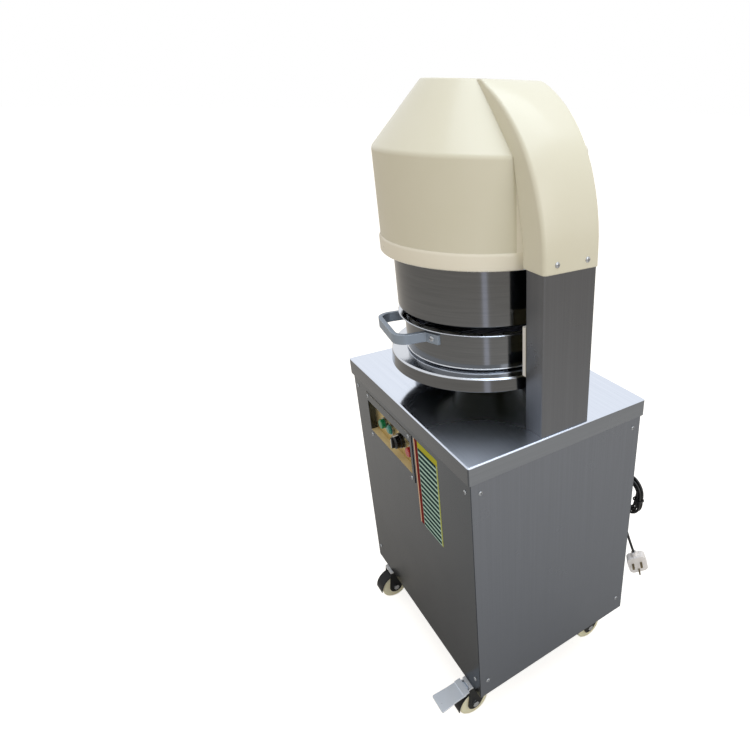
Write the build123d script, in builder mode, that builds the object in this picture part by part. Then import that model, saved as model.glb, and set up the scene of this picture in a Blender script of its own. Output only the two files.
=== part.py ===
from build123d import *
import os
from math import asin, cos, dist, pi, radians, sin, tan

# Floor-standing electric dough divider. Sizes are millimetres.
# Origin on the floor under the drum's axis, +Z up.
# The front is -Y, and +X is to the right seen from the front.

# Cabinet
cabinet_width = 580.0
cabinet_depth = 450.0
lip_height = 40.0
body_height = 600.0
panel_inset = 5.0
panel_sheet = 1.5
panel_tuck = 25.0
top_sheet = 2.0
top_corner = 4.0
top_bend = 3.5
angle_leg = 40.0
angle_wall = 4.0
base_plate = 5.0
screw_head_radius = 5.0
screw_head_height = 2.6
panel_screw_inset = 20.0
panel_screw_top = 28.0
panel_screw_bottom = 45.0

# Posts and head
post_margin = 4.0
post_thickness = 54.0
post_depth = 118.0
post_wall = 2.0
post_corner = 2.5
post_rise = 345.0
head_plate_thickness = 12.0
head_opening_step = 4.0
fit_gap = 0.3
run_gap = 0.05

# Hood, a moulded shell
hood_wall = 3.0
hood_drum_gap = 21.0
hood_overlap = 32.0
hood_height = 307.0
shoulder_height = 192.0
cone_run = 99.0
shoulder_round = 14.0
seam_round = 12.0
band_height = 32.0
band_proud = 3.0
band_edge = 2.0
band_slope = 6.0
bridge_lift = 11.0
bridge_straight = 37.0
bridge_knee_height = 165.0
bridge_knee_inset = 25.0
bridge_crown_step = 3.0
bridge_crown_round = 60.0
bridge_edge_round = 8.0
hood_screw_height = 27.0
hood_screw_spread = 68.0

# Drum, pan and pan table
drum_post_gap = 45.0
drum_wall = 2.0
drum_lift = 196.0
drum_flange = 12.0
drum_flange_thickness = 3.0
drum_curl = 5.0
drum_edge = 3.0
table_post_gap = 20.0
table_lift = 100.0
table_sheet = 2.0
table_rim = 28.0
table_flare = 3.0
table_edge = 3.0
pedestal_base_radius = 82.0
pedestal_top_radius = 128.0
pedestal_waist_radius = 66.0
pedestal_flange = 6.0
pedestal_bowl_radius = 88.0
pedestal_bowl_height = 58.0
guard_sheet = 2.0
guard_height = 100.0
guard_lift = 112.0
guard_hem = 12.0
guard_hem_width = 10.0
guard_hem_round = 3.0
guard_pan_gap = 21.0
pan_drum_step = 11.0
pan_wall = 1.5
pan_height = 81.0
pan_rim_width = 13.0
pan_rim_bead = 3.0
pan_rim_edge = 1.2
pan_base_edge = 5.0
pan_turn = -8.0
handle_height = 20.0
handle_thickness = 9.0
handle_width = 148.0
handle_reach = 226.0
handle_corner = 30.0
handle_lift = 50.0
handle_foot = 36.0
handle_weld = 1.0
foot_thickness = 5.0
seat_gap = 0.03
handle_bolt_radius = 5.5
handle_bolt_inset = 23.0
handle_bolt_proud = 0.8

# Press, knives and their drive
press_travel = 92.0
platen_travel = 55.0
rod_radius = 10.0
rod_side_gap = 2.0
bush_wall = 5.0
bush_flange = 4.0
bush_flange_height = 3.0
bush_depth = 24.0
knife_drum_gap = 15.0
knife_height = 74.0
knife_lift = 2.0
knife_sheet = 2.5
knife_rings = (4, 12, 20)
pad_gap = 1.0
pad_recess = 1.0
pad_thickness = 10.0
pad_stud = 8.0
press_plate_thickness = 8.0
press_plate_gap = 13.0
press_plate_edge = 4.0
spring_closed = 52.0
carrier_thickness = 12.0
hub_radius = 45.0
guide_rod_radius = 7.0
guide_rod_reach = 110.0
guide_collar_radius = 11.0
guide_collar_height = 10.0
guide_rod_stub = 8.0
spring_wire = 2.5
spring_side_gap = 1.5
crosshead_depth = 18.0
crosshead_rib = 30.0
crosshead_width = 60.0
crosshead_clear = 3.0
lug_edge = 12.0
yoke_drop = 130.0
yoke_depth = 30.0
nut_radius = 30.0
nut_flange = 12.0
nut_height = 80.0
drive_screw_radius = 16.0
drive_journal_radius = 12.0
bearing_beam_width = 60.0
bearing_beam_depth = 30.0
gearbox_width = 150.0
gearbox_depth = 130.0
gearbox_height = 190.0
gearbox_round = 10.0
gearbox_nose_radius = 48.0
gearbox_nose = 10.0
coupling_radius = 28.0
coupling_height = 45.0
motor_radius = 65.0
motor_end_gap = 28.5
motor_flange_radius = 80.0
motor_flange = 10.0
motor_axis_height = 95.0
motor_cowl = 35.0
motor_cowl_proud = 3.0
terminal_length = 80.0
terminal_width = 70.0
terminal_proud = 40.0

# Controls
control_width = 236.0
control_height = 87.0
control_drop = 80.0
control_centre = -88.0
control_wall = 1.5
control_depth = 14.0
control_side_flange = 8.0
control_end_flange = 18.0
control_plate_thickness = 2.0
control_row_drop = 119.0
control_screw_radius = 2.5
control_screw_inset = 6.0
control_screw_edge = 7.0
control_screw_height = 1.5
stem_reach = 15.0
button_edge = 1.5
button_slack = 1.0
start_offset = -50.0
lamp_offset = -15.0
selector_offset = 43.0
stop_offset = 98.0
button_radius = 11.5
button_stem = 8.0
button_travel = 4.0
start_proud = 16.0
stop_proud = 16.0
collar_wall = 3.0
collar_height = 6.0
lamp_radius = 11.0
lamp_proud = 12.0
lamp_edge = 3.0
knob_radius = 18.0
knob_base = 7.0
knob_proud = 24.0
knob_cap_inset = 2.0
knob_edge = 3.0
switch_width = 30.0
switch_height = 42.0
switch_depth = 46.0

# Castors
castor_inset_x = 60.0
castor_inset_y = 38.0
castor_plate_x = 86.0
castor_plate_y = 72.0
castor_plate_thickness = 4.0
castor_boss_radius = 27.0
castor_boss = 8.0
king_pin_radius = 6.0
castor_trail = 30.0
wheel_radius = 37.5
wheel_width = 28.0
wheel_crown_gap = 15.0
wheel_side_gap = 1.5
wheel_chamfer = 3.0
axle_radius = 5.0
axle_head_radius = 8.0
axle_head = 5.0
fork_wall = 3.0
fork_crown = 8.0
fork_crown_overhang = 24.0
fork_eye_radius = 11.0
fork_cheek_radius = 18.0
fork_guard_gap = 4.0
fork_guard = 2.0
pedal_pin_radius = 3.0
pedal_barrel_radius = 6.0
pedal_reach = 5.0
pedal_pin_drop = 4.0
pedal_length = 72.0
pedal_root_length = 14.0
pedal_step = 8.0
pedal_flare_start = 34.0
pedal_width = 46.0
pedal_tip_width = 52.0
pedal_neck = 24.0
pedal_rise = 0.6
pedal_sheet = 3.0
pedal_slope = 3.0
pedal_round = 4.0

# Power cord
cord_diameter = 7.0
cord_sides = 6
gland_drop = 259.0
gland_thread_radius = 8.0
gland_nut_radius = 13.0
gland_nut = 5.0
gland_nose_step = 2.0
gland_nose = 20.0
gland_taper = 12.0
lead_run = 17.0
bend_share = 0.45
hank_run_count = 5
hank_inner = 25.0
hank_step = 8.4
hank_layer = 8.0
hank_run = 26.0
hank_inset = 67.0
hank_drop = 77.0
tie_wall = 1.2
tie_width = 5.0
tie_gap = 0.5
tail_run = 40.0
tail_drop = 25.0
plug_body = 50.0
plug_depth = 24.0
plug_round = 12.0
plug_neck_radius = 7.5
plug_neck = 12.0
plug_pin_length = 18.0
plug_pin_width = 6.0
plug_pin_thickness = 4.0
plug_pin_pitch = 22.0
plug_side = 52.0
plug_back = 0.8
plug_drop = 194.0
plug_turn = 51.5
plug_tilt = 20.0

# Places worked out from the sizes above
body_width = cabinet_width - 2 * panel_inset
body_depth = cabinet_depth - 2 * panel_inset
castor_height = 2 * wheel_radius + wheel_crown_gap + fork_crown + castor_boss + castor_plate_thickness
body_bottom = castor_height
top_height = body_bottom + body_height + lip_height
frame_width = body_width - 2 * panel_sheet
frame_depth = body_depth - 2 * panel_sheet
frame_top = top_height - top_sheet
panel_top = top_height - lip_height + panel_tuck
panel_tall = panel_top - body_bottom
panel_middle = (panel_top + body_bottom) / 2
front_face = -body_depth / 2
post_outer = cabinet_width / 2 - post_margin
post_gap = 2 * (post_outer - post_thickness)
post_x = post_outer - post_thickness / 2
post_top = top_height + post_rise
head_top = post_top + head_plate_thickness
hood_bottom = post_top - hood_overlap
hood_top = hood_bottom + hood_height
bridge_half = post_outer + fit_gap + hood_wall
bridge_half_depth = post_depth / 2 + fit_gap + hood_wall
drum_radius = post_gap / 2 - drum_post_gap
head_opening_radius = drum_radius - head_opening_step
hood_radius = drum_radius + hood_drum_gap
crown_radius = hood_radius - cone_run
bridge_crown = crown_radius + bridge_crown_step
pan_radius = drum_radius - pan_drum_step
knife_radius = drum_radius - knife_drum_gap
rod_x = post_gap / 2 + post_wall + rod_side_gap + rod_radius
drum_bottom = top_height + drum_lift
table_top = top_height + table_lift
table_radius = post_gap / 2 - table_post_gap
pan_rim = table_top + pan_height
bush_radius = rod_radius + run_gap + bush_wall
knife_bottom = drum_bottom + knife_lift
knife_top = knife_bottom + knife_height
pad_bottom = knife_bottom + pad_recess
pad_top = pad_bottom + pad_thickness
press_plate_bottom = knife_top + press_plate_gap
press_plate_top = press_plate_bottom + press_plate_thickness
carrier_lift = platen_travel + spring_closed
carrier_bottom = press_plate_top + carrier_lift
carrier_top = carrier_bottom + carrier_thickness
crosshead_bottom = head_top + bush_flange_height + press_travel + crosshead_clear
crosshead_top = crosshead_bottom + crosshead_depth
yoke_top = top_height - yoke_drop
yoke_bottom = yoke_top - yoke_depth
base_top = body_bottom + base_plate
gearbox_top = base_top + gearbox_height
screw_start = gearbox_top + gearbox_nose
motor_length = frame_width / 2 - gearbox_width / 2 - motor_flange - motor_end_gap
beam_top = frame_top - angle_wall
beam_bottom = beam_top - bearing_beam_depth
wheel_axis = wheel_radius
castor_x = body_width / 2 - castor_inset_x
castor_y = body_depth / 2 - castor_inset_y
castor_plate_bottom = body_bottom - castor_plate_thickness
castor_boss_bottom = castor_plate_bottom - castor_boss
fork_crown_bottom = castor_boss_bottom - fork_crown
fork_half = wheel_width / 2 + wheel_side_gap
cord_radius = cord_diameter / 2
control_top = top_height - control_drop
control_middle = control_top - control_height / 2
control_row = top_height - control_row_drop
plate_front = front_face + control_depth
gland_height = top_height - gland_drop
gland_face = body_depth / 2
gland_end = gland_face + gland_nut + gland_nose
hank_outer = hank_inner + hank_step * (hank_run_count - 1) / 2
hank_x = body_width / 2 - hank_inset
hank_y = gland_end + lead_run * (1 + cos(pi / 6) + cos(pi / 3))
hank_height = gland_height - hank_drop
gland_x = hank_x - hank_outer


def save(part, name):
    """Labels one finished piece and writes it under its own name."""
    part.label = name
    export_step(part, f"parts/{name}.step")


os.makedirs("parts", exist_ok=True)

# Base frame: angle-iron uprights and rings welded to a base plate.
with BuildPart() as base_frame:
    with BuildSketch(Plane.XY.offset(body_bottom)):
        Rectangle(frame_width, frame_depth)
    extrude(amount=base_plate)
    with BuildSketch(Plane.XY.offset(body_bottom)):
        Rectangle(frame_width, frame_depth)
        Rectangle(frame_width - 2 * angle_wall, frame_depth - 2 * angle_wall, mode=Mode.SUBTRACT)
        Rectangle(frame_width - 2 * angle_leg, frame_depth, mode=Mode.SUBTRACT)
        Rectangle(frame_width, frame_depth - 2 * angle_leg, mode=Mode.SUBTRACT)
    extrude(amount=frame_top - body_bottom)
    with BuildSketch(Plane.XY.offset(frame_top)):
        Rectangle(frame_width, frame_depth)
        Rectangle(frame_width - 2 * angle_wall, frame_depth - 2 * angle_wall, mode=Mode.SUBTRACT)
    extrude(amount=-angle_leg)
    with BuildSketch(Plane.XY.offset(frame_top)):
        Rectangle(frame_width, frame_depth)
        Rectangle(frame_width - 2 * angle_leg, frame_depth - 2 * angle_leg, mode=Mode.SUBTRACT)
        with Locations((-rod_x, 0), (rod_x, 0)):
            Circle(bush_radius + 3 * bush_flange)
            Circle(bush_radius + fit_gap, mode=Mode.SUBTRACT)
    extrude(amount=-angle_wall)
save(base_frame.part, "base_frame")

# Top plate: a folded tray turned upside down, with a clear hole for each pull rod.
with BuildPart() as top_plate:
    with BuildSketch(Plane.XY.offset(top_height)):
        RectangleRounded(cabinet_width, cabinet_depth, top_corner)
    extrude(amount=-lip_height)
    fillet(top_plate.edges().group_by(Axis.Z)[-1], top_bend)
    with BuildSketch(Plane.XY.offset(frame_top)):
        Rectangle(cabinet_width - 2 * top_sheet, cabinet_depth - 2 * top_sheet)
    extrude(amount=-lip_height, mode=Mode.SUBTRACT)
    with BuildSketch(Plane.XY.offset(top_height)):
        with Locations((-rod_x, 0), (rod_x, 0)):
            Circle(rod_radius + fit_gap)
    extrude(amount=-top_sheet, mode=Mode.SUBTRACT)
save(top_plate.part, "top_plate")

# Front panel, with the opening for the controls.
with BuildPart() as front_panel:
    with BuildSketch(Plane.XZ.offset(body_depth / 2)):
        with Locations((0, panel_middle)):
            Rectangle(body_width, panel_tall)
        with Locations((control_centre, control_middle)):
            Rectangle(control_width, control_height, mode=Mode.SUBTRACT)
    extrude(amount=-panel_sheet)
save(front_panel.part, "front_panel")

# Rear panel, with the hole for the cable gland.
with BuildPart() as rear_panel:
    with BuildSketch(Plane.XZ.offset(-body_depth / 2)):
        with Locations((0, panel_middle)):
            Rectangle(body_width, panel_tall)
        with Locations((gland_x, gland_height)):
            Circle(gland_thread_radius + fit_gap, mode=Mode.SUBTRACT)
    extrude(amount=panel_sheet)
save(rear_panel.part, "rear_panel")

# Side panels fit between the front and rear panels.
for side, name in ((-1, "left_panel"), (1, "right_panel")):
    with BuildPart() as side_panel:
        with BuildSketch(Plane.YZ.offset(side * body_width / 2)):
            with Locations((0, panel_middle)):
                Rectangle(frame_depth, panel_tall)
        extrude(amount=-side * panel_sheet)
    save(side_panel.part, name)

# Screw heads at the corners of the four panels and of the control recess.
corners = ((-1, -1), (-1, 1), (1, -1), (1, 1))
flange_screw_x = control_width / 2 - control_screw_inset
flange_screw_z = control_height / 2 + control_end_flange - control_screw_edge
screw_rows = (top_height - lip_height - panel_screw_top, body_bottom + panel_screw_bottom)
front_screws = [(x * (body_width / 2 - panel_screw_inset), z) for x in (-1, 1) for z in screw_rows]
side_screws = [(y * (body_depth / 2 - panel_screw_inset), z) for y in (-1, 1) for z in screw_rows]
flange_screws = []
for x, z in corners:
    flange_screws.append((control_centre + x * flange_screw_x, control_middle + z * flange_screw_z))
with BuildPart() as panel_screws:
    for side in (-1, 1):
        with BuildSketch(Plane.XZ.offset(side * body_depth / 2)):
            with Locations(front_screws):
                Circle(screw_head_radius)
        extrude(amount=side * screw_head_height)
        with BuildSketch(Plane.YZ.offset(side * body_width / 2)):
            with Locations(side_screws):
                Circle(screw_head_radius)
        extrude(amount=side * screw_head_height)
    with BuildSketch(Plane.XZ.offset(control_wall - front_face)):
        with Locations(flange_screws):
            Circle(control_screw_radius)
    extrude(amount=control_screw_height)
save(panel_screws.part, "panel_screws")

# Posts: square tubes that stand on the top plate and carry the head.
for side, name in ((-1, "left_post"), (1, "right_post")):
    with BuildPart() as post:
        with BuildSketch(Plane.XY.offset(top_height)):
            with Locations((side * post_x, 0)):
                RectangleRounded(post_thickness, post_depth, post_corner)
                Rectangle(post_thickness - 2 * post_wall, post_depth - 2 * post_wall, mode=Mode.SUBTRACT)
        extrude(amount=post_rise)
    save(post.part, name)

# Head plate: a ring with two arms that lie on the posts. The drum hangs from it.
with BuildPart() as head_plate:
    with BuildSketch(Plane.XY.offset(post_top)):
        Circle(hood_radius - hood_wall - fit_gap)
        Rectangle(2 * post_outer - 2 * fit_gap, post_depth - 2 * fit_gap)
        Circle(head_opening_radius, mode=Mode.SUBTRACT)
        with Locations((-rod_x, 0), (rod_x, 0)):
            Circle(bush_radius + run_gap, mode=Mode.SUBTRACT)
    extrude(amount=head_plate_thickness)
save(head_plate.part, "head_plate")

# Guide bushes for the pull rods: flanged ones in the head plate and in the frame's top ring.
with BuildPart() as rod_bushes:
    for bottom, height, flange_bottom, flange_height in (
        (post_top, head_plate_thickness, head_top, bush_flange_height),
        (frame_top - bush_depth, bush_depth, beam_top - bush_flange_height, bush_flange_height),
    ):
        with BuildSketch(Plane.XY.offset(bottom)):
            with Locations((-rod_x, 0), (rod_x, 0)):
                Circle(bush_radius)
        extrude(amount=height)
        with BuildSketch(Plane.XY.offset(flange_bottom)):
            with Locations((-rod_x, 0), (rod_x, 0)):
                Circle(bush_radius + bush_flange)
        extrude(amount=flange_height)
    with BuildSketch(Plane.XY.offset(frame_top - bush_depth)):
        with Locations((-rod_x, 0), (rod_x, 0)):
            Circle(rod_radius + run_gap)
    extrude(amount=head_top + bush_flange_height - frame_top + bush_depth, mode=Mode.SUBTRACT)
save(rod_bushes.part, "rod_bushes")


def hood_body(inset, floor):
    """Half section of the hood's round body, a cylinder under a cone, drawn inside the outline by inset.

    Only the outside, with no inset, has its shoulder rounded.
    """
    lean = (hood_radius - crown_radius) / (hood_height - shoulder_height)
    with BuildSketch(Plane.XZ) as half:
        with BuildLine():
            Polyline(
                (0, floor),
                (hood_radius - inset, floor),
                (hood_radius - inset, hood_bottom + shoulder_height),
                (crown_radius + lean * inset - inset, hood_top - inset),
                (0, hood_top - inset),
                close=True,
            )
        make_face()
        if inset == 0:
            fillet(half.vertices().group_by(Axis.X)[-1].sort_by(Axis.Y)[-1], shoulder_round)
    return half.sketch


def hood_bridge(inset, floor):
    """Outline of the hood's bridge from post to post, seen from the front, drawn inside by inset."""
    half = bridge_half - inset
    with BuildSketch(Plane.XZ) as outline:
        with BuildLine():
            side = Line((half, floor), (half, hood_bottom + bridge_straight))
            knee = TangentArc(
                side @ 1,
                (bridge_half - bridge_knee_inset - inset, hood_bottom + bridge_knee_height),
                tangent=side % 1,
            )
            rise = TangentArc(knee @ 1, (bridge_crown, hood_top - inset), tangent=knee % 1)
            Line(rise @ 1, (0, hood_top - inset))
            mirror(about=Plane.YZ)
            Line((-half, floor), (half, floor))
        make_face()
        fillet(outline.vertices().group_by(Axis.Y)[-1], bridge_crown_round)
    return outline.sketch


# Hood: one moulded shell, a cylinder under a cone with a bridge across both posts and a raised band below.
# Soft blends run along the seams between the two, and one radius rounds the crown and the bridge's edges.
# The foot of the band runs on round inside the bridge's legs.
with BuildPart() as hood:
    revolve(hood_body(0, hood_bottom), axis=Axis.Z)
    extrude(hood_bridge(0, hood_bottom + bridge_lift), amount=bridge_half_depth, both=True)
    cheek_edges = hood.edges().filter_by(lambda e: abs(abs(e.center().Y) - bridge_half_depth) < fit_gap)
    seams = cheek_edges.filter_by(GeomType.CIRCLE, reverse=True)
    seams = seams.filter_by(lambda e: abs(e.center().X) < hood_radius and e.bounding_box().size.Z > fit_gap)
    fillet(seams, seam_round)
    cheek_edges = hood.edges().filter_by(lambda e: abs(abs(e.center().Y) - bridge_half_depth) < fit_gap)
    arch = cheek_edges.filter_by(GeomType.CIRCLE).filter_by(lambda e: e.center().Z > hood_bottom + fit_gap)
    ends = cheek_edges.filter_by(lambda e: abs(abs(e.center().X) - bridge_half) < fit_gap)
    crown = hood.edges().group_by(Axis.Z)[-1]
    crown = crown.filter_by(lambda e: abs(e.center().Y) > bridge_half_depth + fit_gap)
    fillet(arch + ends + crown, bridge_edge_round)
    with BuildSketch(Plane.XZ):
        with BuildLine():
            Polyline(
                (hood_radius - hood_wall, hood_bottom),
                (hood_radius + band_proud - band_edge, hood_bottom),
                (hood_radius + band_proud, hood_bottom + band_edge),
                (hood_radius + band_proud, hood_bottom + band_height - band_slope),
                (hood_radius, hood_bottom + band_height),
                (hood_radius - hood_wall, hood_bottom + band_height),
                close=True,
            )
        make_face()
    revolve(axis=Axis.Z)
    revolve(hood_body(hood_wall, hood_bottom), axis=Axis.Z, mode=Mode.SUBTRACT)
    inner_bridge = hood_bridge(hood_wall, hood_bottom)
    extrude(inner_bridge, amount=bridge_half_depth - hood_wall, both=True, mode=Mode.SUBTRACT)
    with BuildSketch(Plane.XZ):
        with BuildLine():
            Polyline(
                (hood_radius - hood_wall, hood_bottom),
                (hood_radius + band_proud - band_edge, hood_bottom),
                (hood_radius + band_proud, hood_bottom + band_edge),
                (hood_radius + band_proud, hood_bottom + bridge_lift),
                (hood_radius - hood_wall, hood_bottom + bridge_lift),
                close=True,
            )
        make_face()
    revolve(axis=Axis.Z)
save(hood.part, "hood")

# Dome screws that hold the hood to the posts.
with BuildPart() as hood_screws:
    for side in (-1, 1):
        with BuildSketch(Plane.YZ.offset(side * bridge_half)):
            with Locations([(y * hood_screw_spread / 2, hood_bottom + hood_screw_height) for y in (-1, 1)]):
                Circle(screw_head_radius)
        extrude(amount=side * screw_head_height)
save(hood_screws.part, "hood_screws")

# Drum: a polished tube with a flange at the top and an inward curl below.
with BuildPart() as drum:
    with BuildSketch(Plane.XZ) as wall:
        with BuildLine():
            Polyline(
                (drum_radius, drum_bottom),
                (drum_radius, post_top - drum_flange_thickness),
                (drum_radius + drum_flange, post_top - drum_flange_thickness),
                (drum_radius + drum_flange, post_top),
                (drum_radius - drum_wall, post_top),
                (drum_radius - drum_wall, drum_bottom + drum_wall),
                (drum_radius - drum_curl, drum_bottom + drum_wall),
                (drum_radius - drum_curl, drum_bottom),
                close=True,
            )
        make_face()
        foot = wall.vertices().group_by(Axis.Y)[0]
        chamfer(foot.sort_by(Axis.X)[-1], drum_edge)
    revolve(axis=Axis.Z)
save(drum.part, "drum")

# Pan table: a round sheet with a turned-down rim.
with BuildPart() as pan_table:
    with BuildSketch(Plane.XZ) as sheet:
        with BuildLine():
            Polyline(
                (0, table_top),
                (table_radius - table_flare, table_top),
                (table_radius, table_top - table_rim),
                (table_radius - table_sheet, table_top - table_rim),
                (table_radius - table_flare - table_sheet, table_top - table_sheet),
                (0, table_top - table_sheet),
                close=True,
            )
        make_face()
        chamfer(sheet.vertices().group_by(Axis.Y)[-1].sort_by(Axis.X)[-1], table_edge)
    revolve(axis=Axis.Z)
save(pan_table.part, "pan_table")

# Pedestal: a turned bowl-shaped foot between the top plate and the pan table.
with BuildPart() as pedestal:
    with BuildSketch(Plane.XZ):
        with BuildLine():
            Polyline(
                (0, top_height),
                (pedestal_base_radius, top_height),
                (pedestal_base_radius, top_height + pedestal_flange),
                (pedestal_waist_radius, top_height + pedestal_flange),
                (pedestal_bowl_radius, top_height + pedestal_bowl_height),
                (pedestal_top_radius, table_top - table_sheet - pedestal_flange),
                (pedestal_top_radius, table_top - table_sheet),
                (0, table_top - table_sheet),
                close=True,
            )
        make_face()
    revolve(axis=Axis.Z)
save(pedestal.part, "table_pedestal")

# Pan guard: a sheet bent to a U, its flat cheeks against the posts and its front edges hemmed.
guard_outer = post_gap / 2
guard_inner = guard_outer - guard_sheet
guard_bend = pan_radius + pan_rim_width + guard_pan_gap - guard_inner
guard_cheek = guard_bend + post_depth / 2
with BuildPart() as pan_guard:
    with BuildSketch(Plane.XY.offset(top_height + guard_lift)):
        with Locations((0, guard_bend)):
            Circle(guard_outer)
        with Locations((0, guard_bend - guard_outer / 2)):
            Rectangle(2 * guard_outer, guard_outer, mode=Mode.SUBTRACT)
        with Locations((0, guard_bend - guard_cheek / 2)):
            Rectangle(2 * guard_outer, guard_cheek)
            Rectangle(2 * guard_inner, guard_cheek, mode=Mode.SUBTRACT)
        with Locations((0, guard_bend)):
            Circle(guard_inner, mode=Mode.SUBTRACT)
        for side in (-1, 1):
            with Locations((side * (guard_outer - guard_hem / 2), guard_hem_width / 2 - post_depth / 2)):
                RectangleRounded(guard_hem, guard_hem_width, guard_hem_round)
    extrude(amount=guard_height)
save(pan_guard.part, "pan_guard")

# Pan: a spun dish with a wide rolled rim, turned a little on its table.
pan_plane = Plane.XY.rotated((0, 0, pan_turn))
with BuildPart() as pan:
    with BuildSketch(Plane.XZ) as dish:
        with BuildLine():
            Polyline(
                (0, table_top),
                (pan_radius, table_top),
                (pan_radius, pan_rim - pan_rim_bead),
                (pan_radius + pan_rim_width, pan_rim - pan_rim_bead),
                (pan_radius + pan_rim_width, pan_rim),
                (pan_radius - pan_wall, pan_rim),
                (pan_radius - pan_wall, table_top + pan_wall),
                (0, table_top + pan_wall),
                close=True,
            )
        make_face()
        outer_base = dish.vertices().group_by(Axis.Y)[0].sort_by(Axis.X)[-1]
        inner_base = dish.vertices().group_by(Axis.Y)[1].sort_by(Axis.X)[-1]
        rim = dish.vertices().group_by(Axis.X)[-1]
        chamfer((outer_base, inner_base), pan_base_edge)
        chamfer(rim, pan_rim_edge)
    revolve(axis=Axis.Z)
save(pan.part, "pan")

# Strap handle: a cast U with two curved feet that lie against the pan's wall.
handle_bottom = table_top + handle_lift
foot_inner = pan_radius + seat_gap
foot_outer = foot_inner + foot_thickness
foot_start = handle_width / 2 - handle_thickness
bolt_turn = asin((foot_start + handle_bolt_inset) / foot_outer)
bolt_spots = []
for side in (-1, 1):
    bolt_angle = radians(pan_turn - 90) + side * bolt_turn
    outward = (cos(bolt_angle), sin(bolt_angle), 0)
    spot = (foot_inner * outward[0], foot_inner * outward[1], handle_bottom + handle_height / 2)
    bolt_spots.append(Plane(origin=spot, z_dir=outward))
with BuildPart() as handle:
    with BuildSketch(pan_plane.offset(handle_bottom)) as strap:
        with Locations((0, -handle_reach / 2)):
            Rectangle(handle_width, handle_reach)
        fillet(strap.vertices().sort_by(Axis.Y)[:2], handle_corner)
        with Locations((0, handle_thickness - handle_reach / 2)):
            Rectangle(handle_width - 2 * handle_thickness, handle_reach, mode=Mode.SUBTRACT)
        inner_edge = handle_thickness - handle_reach
        inner_corners = strap.vertices().filter_by(lambda v: abs(v.Y - inner_edge) < run_gap)
        fillet(inner_corners, handle_corner - handle_thickness)
        Circle(foot_outer - handle_weld, mode=Mode.SUBTRACT)
    extrude(amount=handle_height)
    for side in (-1, 1):
        with BuildSketch(pan_plane.offset(handle_bottom)):
            Circle(foot_outer)
            Circle(foot_inner, mode=Mode.SUBTRACT)
            with Locations((side * (foot_start + handle_foot / 2), -handle_reach / 2)):
                Rectangle(handle_foot, handle_reach, mode=Mode.INTERSECT)
        extrude(amount=handle_height)
    for spot in bolt_spots:
        with BuildSketch(spot.offset(-foot_thickness)):
            Circle(handle_bolt_radius + run_gap)
        extrude(amount=3 * foot_thickness, mode=Mode.SUBTRACT)
save(handle.part, "pan_handle")

# Handle bolts, sunk into the feet.
with BuildPart() as handle_bolts:
    for spot in bolt_spots:
        with BuildSketch(spot.offset(fit_gap)):
            Circle(handle_bolt_radius)
        extrude(amount=foot_thickness + handle_bolt_proud - fit_gap)
save(handle_bolts.part, "handle_bolts")

# Knife skirt: a tube that hangs from the knife carrier and holds the grid at its foot.
knife_inner = knife_radius - knife_sheet
with BuildPart() as knife_skirt:
    with BuildSketch(Plane.XY.offset(knife_top)):
        Circle(knife_radius)
        Circle(knife_inner, mode=Mode.SUBTRACT)
    extrude(amount=carrier_bottom - knife_top)
save(knife_skirt.part, "knife_skirt")

# Knife grid: an outer ring under the skirt, with inner rings and blades across it.
ring_edges = [knife_inner * k / len(knife_rings) for k in range(len(knife_rings) + 1)]
with BuildPart() as knife_grid:
    with BuildSketch(Plane.XY.offset(knife_bottom)):
        Circle(knife_radius)
        Circle(knife_inner, mode=Mode.SUBTRACT)
    extrude(amount=knife_height)
    with BuildSketch(Plane.XY.offset(knife_bottom)):
        for radius in reversed(ring_edges[1:-1]):
            Circle(radius + knife_sheet / 2)
            Circle(radius - knife_sheet / 2, mode=Mode.SUBTRACT)
        for inner, outer, count in zip(ring_edges, ring_edges[1:], knife_rings):
            with PolarLocations((inner + outer) / 2, count):
                Rectangle(outer - inner + knife_sheet / 2, knife_sheet)
    extrude(amount=knife_height)
save(knife_grid.part, "knife_grid")

# Press pads: one in each cell of the grid, on a stud from the press plate.
pad_clear = knife_sheet / 2 + pad_gap
with BuildPart() as press_pads:
    for inner, outer, count in zip(ring_edges, ring_edges[1:], knife_rings):
        pad_outer = outer - pad_clear
        with BuildSketch(Plane.XY.offset(pad_bottom)):
            Circle(pad_outer)
            if inner > 0:
                Circle(inner + pad_clear, mode=Mode.SUBTRACT)
            with PolarLocations((inner + outer) / 2, count):
                Rectangle(outer - inner + 8 * knife_sheet, 2 * pad_clear, mode=Mode.SUBTRACT)
        extrude(amount=pad_thickness)
        with BuildSketch(Plane.XY.offset(pad_top)):
            with PolarLocations((inner + outer) / 2, count, start_angle=180 / count):
                Rectangle(pad_stud, pad_stud)
        extrude(amount=press_plate_bottom - pad_top)
save(press_pads.part, "press_pads")

# Press plate: a disc inside the knife skirt that carries every pad.
with BuildPart() as press_plate:
    with BuildSketch(Plane.XY.offset(press_plate_bottom)):
        Circle(knife_inner - press_plate_edge)
    extrude(amount=press_plate_thickness)
save(press_plate.part, "press_plate")

# Knife carrier: a disc on the knife skirt, with a hub up to the crosshead and holes for the guide rods.
with BuildPart() as knife_carrier:
    with BuildSketch(Plane.XY.offset(carrier_bottom)):
        Circle(knife_radius)
    extrude(amount=carrier_thickness)
    with BuildSketch(Plane.XY.offset(carrier_top)):
        Circle(hub_radius)
    extrude(amount=crosshead_bottom - carrier_top)
    with BuildSketch(Plane.XY.offset(carrier_bottom)):
        with PolarLocations(guide_rod_reach, 4, start_angle=45):
            Circle(guide_rod_radius + run_gap)
    extrude(amount=carrier_thickness, mode=Mode.SUBTRACT)
save(knife_carrier.part, "knife_carrier")

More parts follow.
